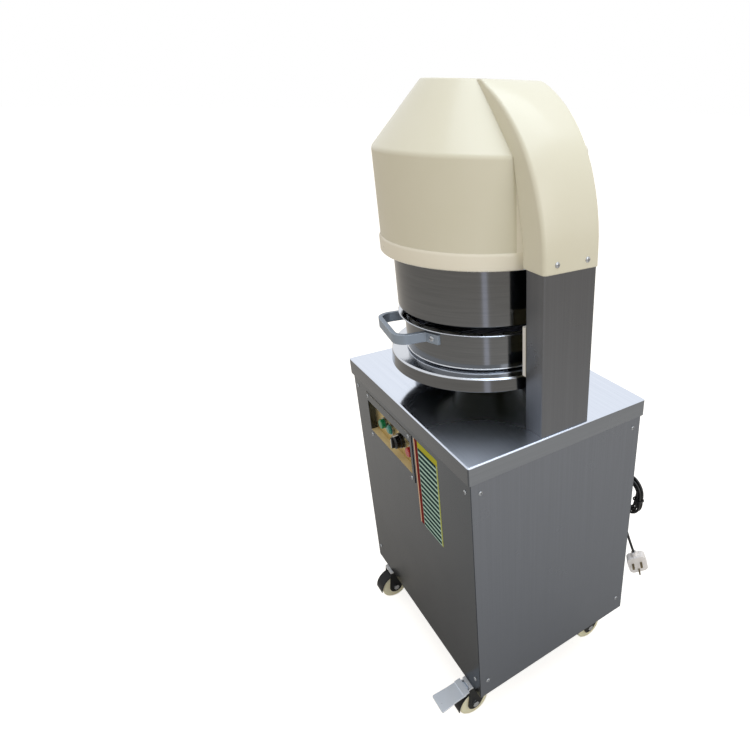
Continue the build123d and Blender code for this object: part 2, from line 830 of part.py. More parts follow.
# Guide rods: they stand on the press plate and hang from the carrier by their collars.
guide_rod_top = carrier_top + guide_collar_height + guide_rod_stub
with BuildPart() as guide_rods:
    for bottom, height, radius in (
        (press_plate_top, guide_rod_top - press_plate_top, guide_rod_radius),
        (carrier_top, guide_collar_height, guide_collar_radius),
    ):
        with BuildSketch(Plane.XY.offset(bottom)):
            with PolarLocations(guide_rod_reach, 4, start_angle=45):
                Circle(radius)
        extrude(amount=height)
save(guide_rods.part, "guide_rods")

# Springs around the guide rods, drawn as plain sleeves.
with BuildPart() as platen_springs:
    with BuildSketch(Plane.XY.offset(press_plate_top)):
        with PolarLocations(guide_rod_reach, 4, start_angle=45):
            Circle(guide_rod_radius + spring_side_gap + spring_wire)
            Circle(guide_rod_radius + spring_side_gap, mode=Mode.SUBTRACT)
    extrude(amount=carrier_lift)
save(platen_springs.part, "platen_springs")

# Crosshead: a ribbed beam under the hood that joins the two pull rods to the carrier.
lug_end = rod_x + lug_edge
with BuildPart() as crosshead:
    with BuildSketch(Plane.XZ):
        with BuildLine():
            Polyline(
                (-lug_end, crosshead_bottom),
                (lug_end, crosshead_bottom),
                (lug_end, crosshead_top),
                (rod_x - 2 * lug_edge, crosshead_top),
                (hub_radius, crosshead_top + crosshead_rib),
                (-hub_radius, crosshead_top + crosshead_rib),
                (2 * lug_edge - rod_x, crosshead_top),
                (-lug_end, crosshead_top),
                close=True,
            )
        make_face()
    extrude(amount=crosshead_width / 2, both=True)
    with BuildSketch(Plane.XY.offset(crosshead_bottom)):
        with Locations((-rod_x, 0), (rod_x, 0)):
            Circle(rod_radius + run_gap)
    extrude(amount=crosshead_depth, mode=Mode.SUBTRACT)
save(crosshead.part, "crosshead")

# Pull rods: they run inside the posts from the yoke in the cabinet to the crosshead.
with BuildPart() as pull_rods:
    with BuildSketch(Plane.XY.offset(yoke_bottom)):
        with Locations((-rod_x, 0), (rod_x, 0)):
            Circle(rod_radius)
    extrude(amount=crosshead_top - yoke_bottom)
save(pull_rods.part, "pull_rods")

# Yoke: the beam in the cabinet that the screw nut pulls down.
with BuildPart() as yoke:
    with BuildSketch(Plane.XY.offset(yoke_bottom)):
        Rectangle(2 * lug_end, crosshead_width)
        Circle(nut_radius + nut_flange)
        Circle(nut_radius + run_gap, mode=Mode.SUBTRACT)
        with Locations((-rod_x, 0), (rod_x, 0)):
            Circle(rod_radius + run_gap, mode=Mode.SUBTRACT)
    extrude(amount=yoke_depth)
save(yoke.part, "yoke")

# Screw nut: a flanged barrel let into the yoke.
with BuildPart() as screw_nut:
    with BuildSketch(Plane.XY.offset(yoke_top - nut_height)):
        Circle(nut_radius)
    extrude(amount=nut_height)
    with BuildSketch(Plane.XY.offset(yoke_top)):
        Circle(nut_radius + nut_flange)
    extrude(amount=nut_flange)
    with BuildSketch(Plane.XY.offset(yoke_top - nut_height)):
        Circle(drive_screw_radius + run_gap)
    extrude(amount=nut_height + nut_flange, mode=Mode.SUBTRACT)
save(screw_nut.part, "screw_nut")

# Drive screw: a plain bar here, with a journal at its upper end.
with BuildPart() as drive_screw:
    with BuildSketch(Plane.XY.offset(screw_start)):
        Circle(drive_screw_radius)
    extrude(amount=beam_bottom - screw_start)
    with BuildSketch(Plane.XY.offset(beam_bottom)):
        Circle(drive_journal_radius)
    extrude(amount=bearing_beam_depth)
save(drive_screw.part, "drive_screw")

# Coupling: a sleeve over the lower end of the screw.
with BuildPart() as screw_coupling:
    with BuildSketch(Plane.XY.offset(screw_start)):
        Circle(coupling_radius)
        Circle(drive_screw_radius + run_gap, mode=Mode.SUBTRACT)
    extrude(amount=coupling_height)
save(screw_coupling.part, "screw_coupling")

# Bearing beam: it spans the frame's top ring and holds the upper end of the screw.
with BuildPart() as screw_bearing:
    with BuildSketch(Plane.XY.offset(beam_bottom)):
        Rectangle(bearing_beam_width, frame_depth - 2 * angle_wall - 2 * fit_gap)
        Circle(drive_journal_radius + run_gap, mode=Mode.SUBTRACT)
    extrude(amount=bearing_beam_depth)
save(screw_bearing.part, "screw_bearing")

# Gearbox: a cast block on the base plate with an output nose on top.
with BuildPart() as gearbox:
    with BuildSketch(Plane.XY.offset(base_top)):
        RectangleRounded(gearbox_width, gearbox_depth, gearbox_round)
    extrude(amount=gearbox_height)
    with BuildSketch(Plane.XY.offset(gearbox_top)):
        Circle(gearbox_nose_radius)
    extrude(amount=gearbox_nose)
save(gearbox.part, "gearbox")

# Motor: it is flanged to the side of the gearbox, with a fan cowl and a terminal box.
motor_axis = base_top + motor_axis_height
motor_face = gearbox_width / 2
with BuildPart() as motor:
    for start, length, radius in (
        (motor_face, motor_flange, motor_flange_radius),
        (motor_face, motor_flange + motor_length - motor_cowl, motor_radius),
        (motor_face + motor_flange + motor_length - motor_cowl, motor_cowl, motor_radius + motor_cowl_proud),
    ):
        with BuildSketch(Plane.YZ.offset(start)):
            with Locations((0, motor_axis)):
                Circle(radius)
        extrude(amount=length)
    with BuildSketch(Plane.XY.offset(motor_axis)):
        with Locations((motor_face + motor_flange + motor_length / 2 - motor_cowl / 2, 0)):
            Rectangle(terminal_length, terminal_width)
    extrude(amount=motor_radius + terminal_proud)
save(motor.part, "motor")

# Control recess: a shallow sheet box through the front panel, with a flange on the panel's face.
recess_width = control_width - 2 * fit_gap
recess_height = control_height - 2 * fit_gap
flange_width = control_width + 2 * control_side_flange
flange_height = control_height + 2 * control_end_flange
with BuildPart() as control_recess:
    with BuildSketch(Plane.XZ.offset(-front_face)):
        with Locations((control_centre, control_middle)):
            Rectangle(recess_width, recess_height)
    extrude(amount=-control_depth)
    with BuildSketch(Plane.XZ.offset(-front_face)):
        with Locations((control_centre, control_middle)):
            Rectangle(flange_width, flange_height)
    extrude(amount=control_wall)
    with BuildSketch(Plane.XZ.offset(control_wall - front_face)):
        with Locations((control_centre, control_middle)):
            Rectangle(recess_width - 2 * control_wall, recess_height - 2 * control_wall)
    extrude(amount=-control_wall - control_depth, mode=Mode.SUBTRACT)
save(control_recess.part, "control_recess")

# Control plate: it closes the back of the recess and carries the controls.
start_spot = (control_centre + start_offset, control_row)
lamp_spot = (control_centre + lamp_offset, control_row)
selector_spot = (control_centre + selector_offset, control_row)
stop_spot = (control_centre + stop_offset, control_row)
with BuildPart() as control_plate:
    with BuildSketch(Plane.XZ.offset(-plate_front)):
        with Locations((control_centre, control_middle)):
            Rectangle(recess_width, recess_height)
        with Locations(start_spot, stop_spot, selector_spot):
            Circle(button_stem + run_gap, mode=Mode.SUBTRACT)
    extrude(amount=-control_plate_thickness)
save(control_plate.part, "control_plate")

# Collars around the two buttons, the lamp and the selector.
collar_inner = button_radius + fit_gap
with BuildPart() as button_collars:
    with BuildSketch(Plane.XZ.offset(-plate_front)):
        with Locations(start_spot, stop_spot, lamp_spot):
            Circle(collar_inner + collar_wall)
            Circle(collar_inner, mode=Mode.SUBTRACT)
    extrude(amount=collar_height)
    with BuildSketch(Plane.XZ.offset(-plate_front)):
        with Locations(selector_spot):
            Circle(knob_radius + collar_wall / 2)
            Circle(button_stem + fit_gap, mode=Mode.SUBTRACT)
    extrude(amount=collar_height / 2)
save(button_collars.part, "button_collars")

# Push buttons: a cap in the collar on a stem that reaches into the switch block.
cap_back = button_travel + button_slack
for spot, proud, name in ((start_spot, start_proud, "start_button"), (stop_spot, stop_proud, "stop_button")):
    with BuildPart() as button:
        with BuildSketch(Plane.XZ.offset(-plate_front + cap_back)):
            with Locations(spot):
                Circle(button_radius)
        extrude(amount=proud - cap_back)
        chamfer(button.edges().group_by(Axis.Y)[0], button_edge)
        with BuildSketch(Plane.XZ.offset(-plate_front + cap_back)):
            with Locations(spot):
                Circle(button_stem)
        extrude(amount=-cap_back - control_plate_thickness - stem_reach)
    save(button.part, name)

# Pilot lamp: a domed lens on the plate.
with BuildPart() as pilot_lamp:
    with BuildSketch(Plane.XZ.offset(-plate_front)):
        with Locations(lamp_spot):
            Circle(lamp_radius)
    extrude(amount=lamp_proud)
    chamfer(pilot_lamp.edges().group_by(Axis.Y)[0], lamp_edge)
save(pilot_lamp.part, "pilot_lamp")

# Selector knob: a round skirt with a tall cap on it, on a shaft.
knob_back = collar_height / 2 + fit_gap
with BuildPart() as selector_knob:
    with BuildSketch(Plane.XZ.offset(-plate_front + knob_back)):
        with Locations(selector_spot):
            Circle(knob_radius)
    extrude(amount=knob_base)
    with BuildSketch(Plane.XZ.offset(-plate_front + knob_back)):
        with Locations(selector_spot):
            Circle(knob_radius - knob_cap_inset)
    extrude(amount=knob_proud - knob_back)
    chamfer(selector_knob.edges().group_by(Axis.Y)[0], knob_edge)
    with BuildSketch(Plane.XZ.offset(-plate_front + knob_back)):
        with Locations(selector_spot):
            Circle(button_stem)
    extrude(amount=-knob_back - control_plate_thickness - stem_reach)
save(selector_knob.part, "selector_knob")

# Switch blocks behind the plate.
block_front = plate_front + control_plate_thickness
with BuildPart() as switch_blocks:
    with BuildSketch(Plane.XZ.offset(-block_front)):
        with Locations(start_spot, lamp_spot, selector_spot, stop_spot):
            Rectangle(switch_width, switch_height)
    extrude(amount=-switch_depth)
    with BuildSketch(Plane.XZ.offset(-block_front)):
        with Locations(start_spot, selector_spot, stop_spot):
            Circle(button_stem + run_gap)
    extrude(amount=-stem_reach - button_travel - button_slack, mode=Mode.SUBTRACT)
save(switch_blocks.part, "switch_blocks")

# Castor plates: bolted under the base plate, each with a boss for the king pin.
castor_spots = [(x * castor_x, y * castor_y) for y in (-1, 1) for x in (-1, 1)]
castor_names = ("front_left", "front_right", "rear_left", "rear_right")
with BuildPart() as castor_plates:
    with BuildSketch(Plane.XY.offset(castor_plate_bottom)):
        with Locations(castor_spots):
            RectangleRounded(castor_plate_x, castor_plate_y, castor_plate_thickness)
    extrude(amount=castor_plate_thickness)
    with BuildSketch(Plane.XY.offset(castor_boss_bottom)):
        with Locations(castor_spots):
            Circle(castor_boss_radius)
    extrude(amount=castor_boss)
    with BuildSketch(Plane.XY.offset(castor_boss_bottom)):
        with Locations(castor_spots):
            Circle(king_pin_radius + run_gap)
    extrude(amount=castor_boss, mode=Mode.SUBTRACT)
save(castor_plates.part, "castor_plates")

# Castor forks: a crown on its king pin, two broad cheeks, a curved guard and the axle.
fork_outer = fork_half + fork_wall
fork_guard_inner = wheel_radius + fork_guard_gap
pedal_z = fork_crown_bottom - pedal_pin_drop
for (pivot_x, pivot_y), name in zip(castor_spots, castor_names):
    axle_y = pivot_y - castor_trail
    crown_front = axle_y - fork_eye_radius
    crown_length = pivot_y + fork_crown_overhang - crown_front
    crown_middle = crown_front + crown_length / 2
    with BuildPart() as fork:
        with BuildSketch(Plane.XY.offset(fork_crown_bottom)):
            with Locations((pivot_x, crown_middle)):
                Rectangle(2 * fork_outer, crown_length)
        extrude(amount=fork_crown)
        with BuildSketch(Plane.XY.offset(castor_boss_bottom)):
            with Locations((pivot_x, pivot_y)):
                Circle(king_pin_radius)
        extrude(amount=castor_boss)
        for side in (-1, 1):
            with BuildSketch(Plane.YZ.offset(pivot_x + side * fork_half)):
                with Locations((axle_y, wheel_axis)):
                    Circle(fork_cheek_radius)
                with Locations((crown_middle, fork_crown_bottom)):
                    Rectangle(crown_length, fork_crown / 2)
                make_hull()
            extrude(amount=side * fork_wall)
            with BuildSketch(Plane.YZ.offset(pivot_x + side * fork_outer)):
                with Locations((axle_y, wheel_axis)):
                    RegularPolygon(axle_head_radius, 6)
            extrude(amount=side * axle_head)
        with BuildSketch(Plane.YZ.offset(pivot_x - fork_outer)):
            with Locations((axle_y, wheel_axis)):
                Circle(axle_radius)
        extrude(amount=2 * fork_outer)
        with BuildSketch(Plane.YZ.offset(pivot_x - fork_outer)):
            with Locations((axle_y, wheel_axis)):
                Circle(fork_guard_inner + fork_guard)
                Circle(fork_guard_inner, mode=Mode.SUBTRACT)
            with Locations((axle_y - fork_guard_inner, wheel_axis + fork_guard_inner)):
                Rectangle(2 * fork_guard_inner, 2 * fork_guard_inner, mode=Mode.INTERSECT)
        extrude(amount=2 * fork_outer)
        if name == "front_right":
            pedal_y = crown_front - pedal_reach
            for side in (-1, 1):
                with BuildSketch(Plane.YZ.offset(pivot_x + side * fork_half)):
                    with Locations((pedal_y, pedal_z)):
                        Circle(pedal_barrel_radius)
                    with Locations((crown_front + fork_eye_radius / 2, fork_crown_bottom)):
                        Rectangle(fork_eye_radius, fork_crown)
                    make_hull()
                extrude(amount=side * fork_wall)
            with BuildSketch(Plane.YZ.offset(pivot_x - fork_outer)):
                with Locations((pedal_y, pedal_z)):
                    Circle(pedal_pin_radius)
            extrude(amount=2 * fork_outer)
    save(fork.part, f"{name}_fork")

    with BuildPart() as wheel:
        with BuildSketch(Plane(origin=(pivot_x, axle_y, wheel_axis), x_dir=(1, 0, 0), z_dir=(0, -1, 0))):
            with BuildLine():
                half = wheel_width / 2
                Polyline(
                    (-half, axle_radius + run_gap),
                    (half, axle_radius + run_gap),
                    (half, wheel_radius - wheel_chamfer),
                    (half - wheel_chamfer, wheel_radius),
                    (wheel_chamfer - half, wheel_radius),
                    (-half, wheel_radius - wheel_chamfer),
                    close=True,
                )
            make_face()
        revolve(axis=Axis((pivot_x, axle_y, wheel_axis), (1, 0, 0)))
    save(wheel.part, f"{name}_wheel")

# Brake pedal on the front right castor: a barrel on the fork's pin and a stepped plate with a flared tip.
brake_x, brake_y = castor_spots[1]
pedal_y = brake_y - castor_trail - fork_eye_radius - pedal_reach
pedal_up = (0, -sin(radians(pedal_slope)), cos(radians(pedal_slope)))
pedal_root = Plane(origin=(brake_x, pedal_y, pedal_z), x_dir=(1, 0, 0), z_dir=pedal_up)
pedal_lift = pedal_barrel_radius + pedal_rise
with BuildPart() as brake_pedal:
    with BuildSketch(Plane.YZ.offset(brake_x - pedal_neck / 2)):
        with Locations((pedal_y, pedal_z)):
            Circle(pedal_barrel_radius)
    extrude(amount=pedal_neck)
    with BuildSketch(pedal_root):
        with Locations((0, -pedal_barrel_radius / 2)):
            Rectangle(pedal_neck, pedal_barrel_radius)
    extrude(amount=pedal_lift)
    with BuildSketch(pedal_root.offset(pedal_lift)):
        with Locations((0, -pedal_root_length / 2)):
            Rectangle(pedal_width, pedal_root_length)
    extrude(amount=pedal_sheet)
    with BuildSketch(pedal_root.offset(pedal_lift - pedal_sheet)) as tread:
        with BuildLine():
            Polyline(
                (-pedal_width / 2, -pedal_step),
                (-pedal_width / 2, -pedal_flare_start),
                (-pedal_tip_width / 2, -pedal_length),
                (pedal_tip_width / 2, -pedal_length),
                (pedal_width / 2, -pedal_flare_start),
                (pedal_width / 2, -pedal_step),
                close=True,
            )
        make_face()
        fillet(tread.vertices().sort_by(Axis.Y)[:2], pedal_round)
    extrude(amount=pedal_sheet)
    with BuildSketch(Plane.YZ.offset(brake_x - pedal_neck / 2)):
        with Locations((pedal_y, pedal_z)):
            Circle(pedal_pin_radius + run_gap)
    extrude(amount=pedal_neck, mode=Mode.SUBTRACT)
save(brake_pedal.part, "brake_pedal")

# Cable gland in the rear panel.
with BuildPart() as cable_gland:
    with BuildSketch(Plane.XZ.offset(-gland_face)):
        with Locations((gland_x, gland_height)):
            RegularPolygon(gland_nut_radius, 6)
    extrude(amount=-gland_nut)
    with BuildSketch(Plane.XZ.offset(-gland_face - gland_nut)):
        with Locations((gland_x, gland_height)):
            Circle(gland_nut_radius - gland_nose_step)
    extrude(amount=-gland_nose, taper=gland_taper)
    with BuildSketch(Plane.XZ.offset(-gland_face)):
        with Locations((gland_x, gland_height)):
            Circle(gland_thread_radius)
    extrude(amount=panel_sheet + gland_nut)
    with BuildSketch(Plane.XZ.offset(-gland_face + panel_sheet)):
        with Locations((gland_x, gland_height)):
            RegularPolygon(gland_nut_radius, 6)
    extrude(amount=gland_nut)
save(cable_gland.part, "cable_gland")


def turn_at(before, corner, after):
    """Angle in radians by which a route turns at one of its corners."""
    a = Vector(*corner) - Vector(*before)
    b = Vector(*after) - Vector(*corner)
    return radians(a.get_angle(b))


def bend_radii(route):
    """One radius for each inner corner of a route, as large as the shorter run beside it allows."""
    radii = []
    for before, corner, after in zip(route, route[1:], route[2:]):
        shorter = min(dist(before, corner), dist(corner, after))
        radii.append(bend_share * shorter / tan(turn_at(before, corner, after) / 2))
    return radii


def cord_section(start, towards):
    """Plane across a cord at one of its ends."""
    along = Vector(*towards) - Vector(*start)
    return Plane(origin=start, z_dir=along)


# Cord lead: out of the gland and down to the hank.
lead_drop = hank_height + hank_run / 2
lead_bend = (
    (gland_x, gland_end, gland_height),
    (gland_x, gland_end + lead_run, gland_height),
    (gland_x, gland_end + lead_run * (1 + cos(pi / 6)), gland_height - lead_run * sin(pi / 6)),
    (gland_x, hank_y, gland_height - lead_run * (sin(pi / 6) + sin(pi / 3))),
    (gland_x, hank_y, lead_drop),
)
print("lead radii", [round(r, 1) for r in bend_radii(lead_bend)])
with BuildPart() as cord_lead:
    with BuildLine() as lead_line:
        FilletPolyline(*lead_bend, radius=bend_radii(lead_bend))
    with BuildSketch(cord_section(lead_bend[0], lead_bend[1])):
        RegularPolygon(cord_radius, cord_sides)
    sweep()
save(cord_lead.part, "cord_lead")


# Cord hank: one unbroken tube, a flat coil that runs inwards on one layer and outwards on the next.
# Its runs stand upright, left ones going down and right ones up, and the climb follows the innermost run.
hank_count = 2 * hank_run_count + 1
hank_offsets = [hank_outer - hank_step / 2 * min(k, hank_count - 1 - k) for k in range(hank_count)]
with BuildPart() as cord_hank:
    with BuildLine() as coil:
        for k, offset in enumerate(hank_offsets):
            down = 1 if k % 2 == 0 else -1
            run_x = hank_x - down * offset
            start_y = hank_y if k <= hank_run_count else hank_y + hank_layer
            end_y = hank_y if k < hank_run_count else hank_y + hank_layer
            start = (run_x, start_y, hank_height + down * hank_run / 2)
            end = (run_x, end_y, hank_height - down * hank_run / 2)
            if k == hank_run_count:
                middle = (run_x, hank_y + hank_layer / 2, hank_height)
                TangentArc(start, middle, tangent=(0, 0, -down))
                TangentArc(end, middle, tangent=(0, 0, down))
            else:
                Line(start, end)
            if k < hank_count - 1:
                next_x = hank_x + down * hank_offsets[k + 1]
                reach = abs(next_x - run_x) / 2
                top = ((run_x + next_x) / 2, end_y, end[2] - down * reach)
                ThreePointArc(end, top, (next_x, end_y, end[2]))
    with BuildSketch(Plane(origin=coil.wires()[0] @ 0, z_dir=(0, 0, -1))):
        RegularPolygon(cord_radius, cord_sides)
    sweep(clean=False)
save(cord_hank.part, "cord_hank")
hank_wire = coil.wires()[0]
hank_samples = 800
hank_points = [tuple(hank_wire @ (k / hank_samples)) for k in range(hank_samples + 1)]
hank_skip = int(4 * cord_diameter / (hank_wire.length / hank_samples))
nearest = min(dist(a, b) for k, a in enumerate(hank_points) for b in hank_points[k + hank_skip :])
hank_gap = nearest - cord_diameter
print("hank length", round(hank_wire.length, 1), "least gap to itself", round(hank_gap, 2))

# Cord tie: a flat band around the runs on the right of the hank.
tie_left = hank_x + hank_offsets[hank_run_count] - cord_radius - tie_gap
tie_right = hank_x + hank_offsets[1] + cord_radius + tie_gap
tie_depth = hank_layer + cord_diameter + 2 * tie_gap
with BuildPart() as cord_tie:
    with BuildSketch(Plane.XY.offset(hank_height - tie_width / 2)):
        with Locations(((tie_left + tie_right) / 2, hank_y + hank_layer / 2)):
            RectangleRounded(tie_right - tie_left + 2 * tie_wall, tie_depth + 2 * tie_wall, cord_radius)
            RectangleRounded(tie_right - tie_left, tie_depth, cord_radius - tie_wall, mode=Mode.SUBTRACT)
    extrude(amount=tie_width)
save(cord_tie.part, "cord_tie")

# Plug: a flat body with three pins, hanging with its face turned to the front right.
plug_centre = Vector(hank_x + plug_side, hank_y + plug_back, hank_height - plug_drop)
plug_across = Vector(cos(radians(plug_turn)), sin(radians(plug_turn)), 0)
plug_facing = Vector(sin(radians(plug_turn)), -cos(radians(plug_turn)), 0)
plug_up = Vector(0, 0, 1) * cos(radians(plug_tilt)) - plug_across * sin(radians(plug_tilt))
plug_plane = Plane(origin=plug_centre, x_dir=plug_up.cross(plug_facing), z_dir=plug_facing)
plug_entry = plug_centre + plug_up * (plug_body / 2 + plug_neck)
with BuildPart() as plug:
    with BuildSketch(plug_plane.offset(-plug_depth / 2)):
        RectangleRounded(plug_body, plug_body, plug_round)
    extrude(amount=plug_depth)
    with BuildSketch(plug_plane.offset(plug_depth / 2)):
        with Locations((-plug_pin_pitch / 2, plug_pin_pitch / 4), (plug_pin_pitch / 2, plug_pin_pitch / 4)):
            Rectangle(plug_pin_width, plug_pin_thickness)
        with Locations((0, -plug_pin_pitch * 3 / 4)):
            Rectangle(plug_pin_thickness, plug_pin_width)
    extrude(amount=plug_pin_length)
    with BuildSketch(Plane(origin=plug_entry, z_dir=plug_up)):
        Circle(plug_neck_radius)
    extrude(amount=-plug_neck - plug_round / 2)
save(plug.part, "plug")

# Cord tail: from the foot of the hank down and across to the plug.
tail_start = (hank_x - hank_outer, hank_y + hank_layer, hank_height - hank_run / 2)
tail_end = tuple(plug_entry)
tail_above = tuple(plug_entry + plug_up * tail_run)
tail_route = (
    tail_start,
    (tail_start[0], tail_start[1], tail_start[2] - tail_drop),
    (tail_start[0] + 13.0, tail_start[1] - 4.0, tail_start[2] - 56.0),
    (tail_start[0] + 41.0, tail_start[1] - 13.0, tail_start[2] - 85.0),
    tail_above,
    tail_end,
)
print("tail radii", [round(r, 1) for r in bend_radii(tail_route)])
with BuildPart() as cord_tail:
    with BuildLine() as tail_line:
        FilletPolyline(*tail_route, radius=bend_radii(tail_route))
    with BuildSketch(cord_section(tail_route[0], tail_route[1])):
        RegularPolygon(cord_radius, cord_sides)
    sweep()
save(cord_tail.part, "cord_tail")
cord_length = lead_line.wires()[0].length + hank_wire.length + tail_line.wires()[0].length
print("cord length", round(cord_length, 1))
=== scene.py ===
from math import asin, cos, pi, radians, sin

import bmesh
import bpy
from mathutils import Matrix, Vector


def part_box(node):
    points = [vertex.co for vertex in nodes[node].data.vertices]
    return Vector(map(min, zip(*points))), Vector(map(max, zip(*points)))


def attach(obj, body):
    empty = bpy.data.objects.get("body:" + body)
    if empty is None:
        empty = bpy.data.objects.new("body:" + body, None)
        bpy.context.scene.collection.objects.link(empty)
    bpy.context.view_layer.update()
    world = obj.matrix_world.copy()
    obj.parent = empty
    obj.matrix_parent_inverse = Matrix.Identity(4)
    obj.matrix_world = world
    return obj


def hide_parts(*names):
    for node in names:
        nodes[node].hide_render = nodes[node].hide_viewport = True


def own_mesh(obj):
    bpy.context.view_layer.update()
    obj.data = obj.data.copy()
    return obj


# Floor-standing electric dough divider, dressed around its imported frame.
# Metres, +Z up, the front is -Y, and the origin is on the floor under the drum's axis.
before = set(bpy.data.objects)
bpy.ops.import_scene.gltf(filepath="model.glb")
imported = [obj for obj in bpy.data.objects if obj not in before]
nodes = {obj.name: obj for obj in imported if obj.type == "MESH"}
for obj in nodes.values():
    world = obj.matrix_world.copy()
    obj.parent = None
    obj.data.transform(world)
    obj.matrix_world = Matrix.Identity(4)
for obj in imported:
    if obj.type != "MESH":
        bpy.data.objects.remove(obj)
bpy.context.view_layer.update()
scene = bpy.context.scene
scene.view_settings.view_transform = "Standard"

# Camera: a wide lens at the front right, a little above the hood's band, looking down.
# The picture is a square cut from a wider one, so the lens is shifted off its middle.
image_side = 750
focal_pixels = 572.7
axis_pixel = (552.83, 378.07)
view_turn = radians(51.51)
view_drop = radians(26.56)
view_roll = radians(1.53)
camera_place = Vector((1.0340, -0.6298, 1.3528))
sensor_width = 36.0

camera_data = bpy.data.cameras.new("camera")
camera_data.sensor_width = sensor_width
camera_data.lens = focal_pixels / image_side * sensor_width
camera_data.shift_x = (image_side / 2 - axis_pixel[0]) / image_side
camera_data.shift_y = (axis_pixel[1] - image_side / 2) / image_side
forward = Vector((-sin(view_turn) * cos(view_drop), cos(view_turn) * cos(view_drop), -sin(view_drop)))
level = Vector((cos(view_turn), sin(view_turn), 0))
above = level.cross(forward)
right = cos(view_roll) * level + sin(view_roll) * above
up = cos(view_roll) * above - sin(view_roll) * level
camera = bpy.data.objects.new("camera", camera_data)
camera.matrix_world = Matrix.Translation(camera_place) @ Matrix((right, up, -forward)).transposed().to_4x4()
scene.collection.objects.link(camera)
scene.camera = camera

# Studio: a white sweep, lit by the room and three soft boxes, overhead, on the right and low beside the lens.
# The room shows as white to the lens and to metal, and lights the object at a lower level.
# The low box is a strip that draws one bright upright line on the polished round work.


def linear(hex_colour):
    """An sRGB hex colour as the linear values that a socket takes."""
    parts = [int(hex_colour[k : k + 2], 16) / 255 for k in (1, 3, 5)]
    return (*[c / 12.92 if c <= 0.04045 else ((c + 0.055) / 1.055) ** 2.4 for c in parts], 1.0)


def add_node(tree, kind, inputs=None, **settings):
    """Adds a node with its settings. An input takes a plain value, or another node's output as a link."""
    made = tree.nodes.new(kind)
    for name, value in settings.items():
        setattr(made, name, value)
    for name, value in (inputs or {}).items():
        if isinstance(value, bpy.types.NodeSocket):
            tree.links.new(value, made.inputs[name])
        else:
            made.inputs[name].default_value = value
    return made


def sums(tree, operation, *values):
    """The output of a math node on plain values or other outputs."""
    return add_node(tree, "ShaderNodeMath", dict(enumerate(values)), operation=operation).outputs[0]


def noise(tree, place, size, detail=2.0):
    """The output of a noise whose patches are about so wide."""
    inputs = {"Vector": place, "Scale": 1 / size, "Detail": detail}
    return add_node(tree, "ShaderNodeTexNoise", inputs).outputs["Fac"]


def mix(tree, share, first, second):
    """The output of a node that turns one colour into another by a share."""
    inputs = {"Fac": share, "Color1": first, "Color2": second}
    return add_node(tree, "ShaderNodeMixRGB", inputs).outputs["Color"]


def new_material(name):
    """An empty material, ready for its nodes, and the Object coordinates that its patterns read."""
    made = bpy.data.materials.new(name)
    made.use_nodes = True
    made.node_tree.nodes.clear()
    return made, made.node_tree, add_node(made.node_tree, "ShaderNodeTexCoord").outputs["Object"]


room_light = 0.62
room_tint = "#fff3e4"
lamp_target = Vector((0, 0, 0.8))
soft_boxes = (
    ("overhead_box", 36.0, 2.2, 2.2, Vector((0.4, 0.2, 3.3)), "#e2f0ff"),
    ("side_box", 9.0, 1.6, 1.6, Vector((2.4, 0.2, 1.7)), "#ffffff"),
    ("strip_box", 0.36, 0.2, 0.7, Vector((1.51, -0.98, 0.36)), "#dde4ff"),
)

studio = bpy.data.worlds.new("studio")
scene.world = studio
studio.use_nodes = True
tree = studio.node_tree
tree.nodes.clear()
path = add_node(tree, "ShaderNodeLightPath").outputs
seen = sums(tree, "MAXIMUM", path["Is Camera Ray"], path["Is Glossy Ray"])
seen = sums(tree, "MAXIMUM", seen, path["Is Transmission Ray"])
lit = add_node(tree, "ShaderNodeBackground", {"Color": linear(room_tint), "Strength": room_light})
white = add_node(tree, "ShaderNodeBackground", {"Color": (1, 1, 1, 1), "Strength": 1.0})
room = add_node(tree, "ShaderNodeMixShader", {0: seen, 1: lit.outputs[0], 2: white.outputs[0]})
add_node(tree, "ShaderNodeOutputWorld", {"Surface": room.outputs[0]})

for name, watts, width, height, place, tint in soft_boxes:
    lamp_data = bpy.data.lights.new(name, "AREA")
    lamp_data.shape = "RECTANGLE"
    lamp_data.energy = watts
    lamp_data.size = width
    lamp_data.size_y = height
    lamp_data.color = linear(tint)[:3]
    lamp = bpy.data.objects.new(name, lamp_data)
    aim = (place - lamp_target).to_track_quat("Z", "Y")
    lamp.matrix_world = Matrix.Translation(place) @ aim.to_matrix().to_4x4()
    scene.collection.objects.link(lamp)

floor_half = 40.0
floor_glow, floor_sheen = 0.75, 0.1
fibre_size = 0.004
floor_mesh = bpy.data.meshes.new("floor")
floor_corners = [(x * floor_half, y * floor_half, 0) for x, y in ((-1, -1), (1, -1), (1, 1), (-1, 1))]
floor_mesh.from_pydata(floor_corners, [], [(0, 1, 2, 3)])
floor = bpy.data.objects.new("floor", floor_mesh)
scene.collection.objects.link(floor)
paper, tree, place = new_material("white_paper_sweep")
path = add_node(tree, "ShaderNodeLightPath").outputs
seen = sums(tree, "MAXIMUM", path["Is Camera Ray"], path["Is Transmission Ray"])
glow = sums(tree, "MULTIPLY", seen, floor_glow)
glow = sums(tree, "MULTIPLY_ADD", path["Is Glossy Ray"], floor_sheen, glow)
shade = mix(tree, noise(tree, place, fibre_size), linear("#dcdcda"), linear("#e4e4e2"))
matt = add_node(tree, "ShaderNodeBsdfDiffuse", {"Color": shade})
shine = add_node(tree, "ShaderNodeEmission", {"Color": (1, 1, 1, 1), "Strength": glow})
sweep = add_node(tree, "ShaderNodeAddShader", {0: matt.outputs[0], 1: shine.outputs[0]})
add_node(tree, "ShaderNodeOutputMaterial", {"Surface": sweep.outputs[0]})
floor_mesh.materials.append(paper)

# Base frame: angle iron welded into a cage, with a plate at its foot for the drive.
# It is sprayed with a grey primer that shows its orange peel and is rubbed bare on its corners.


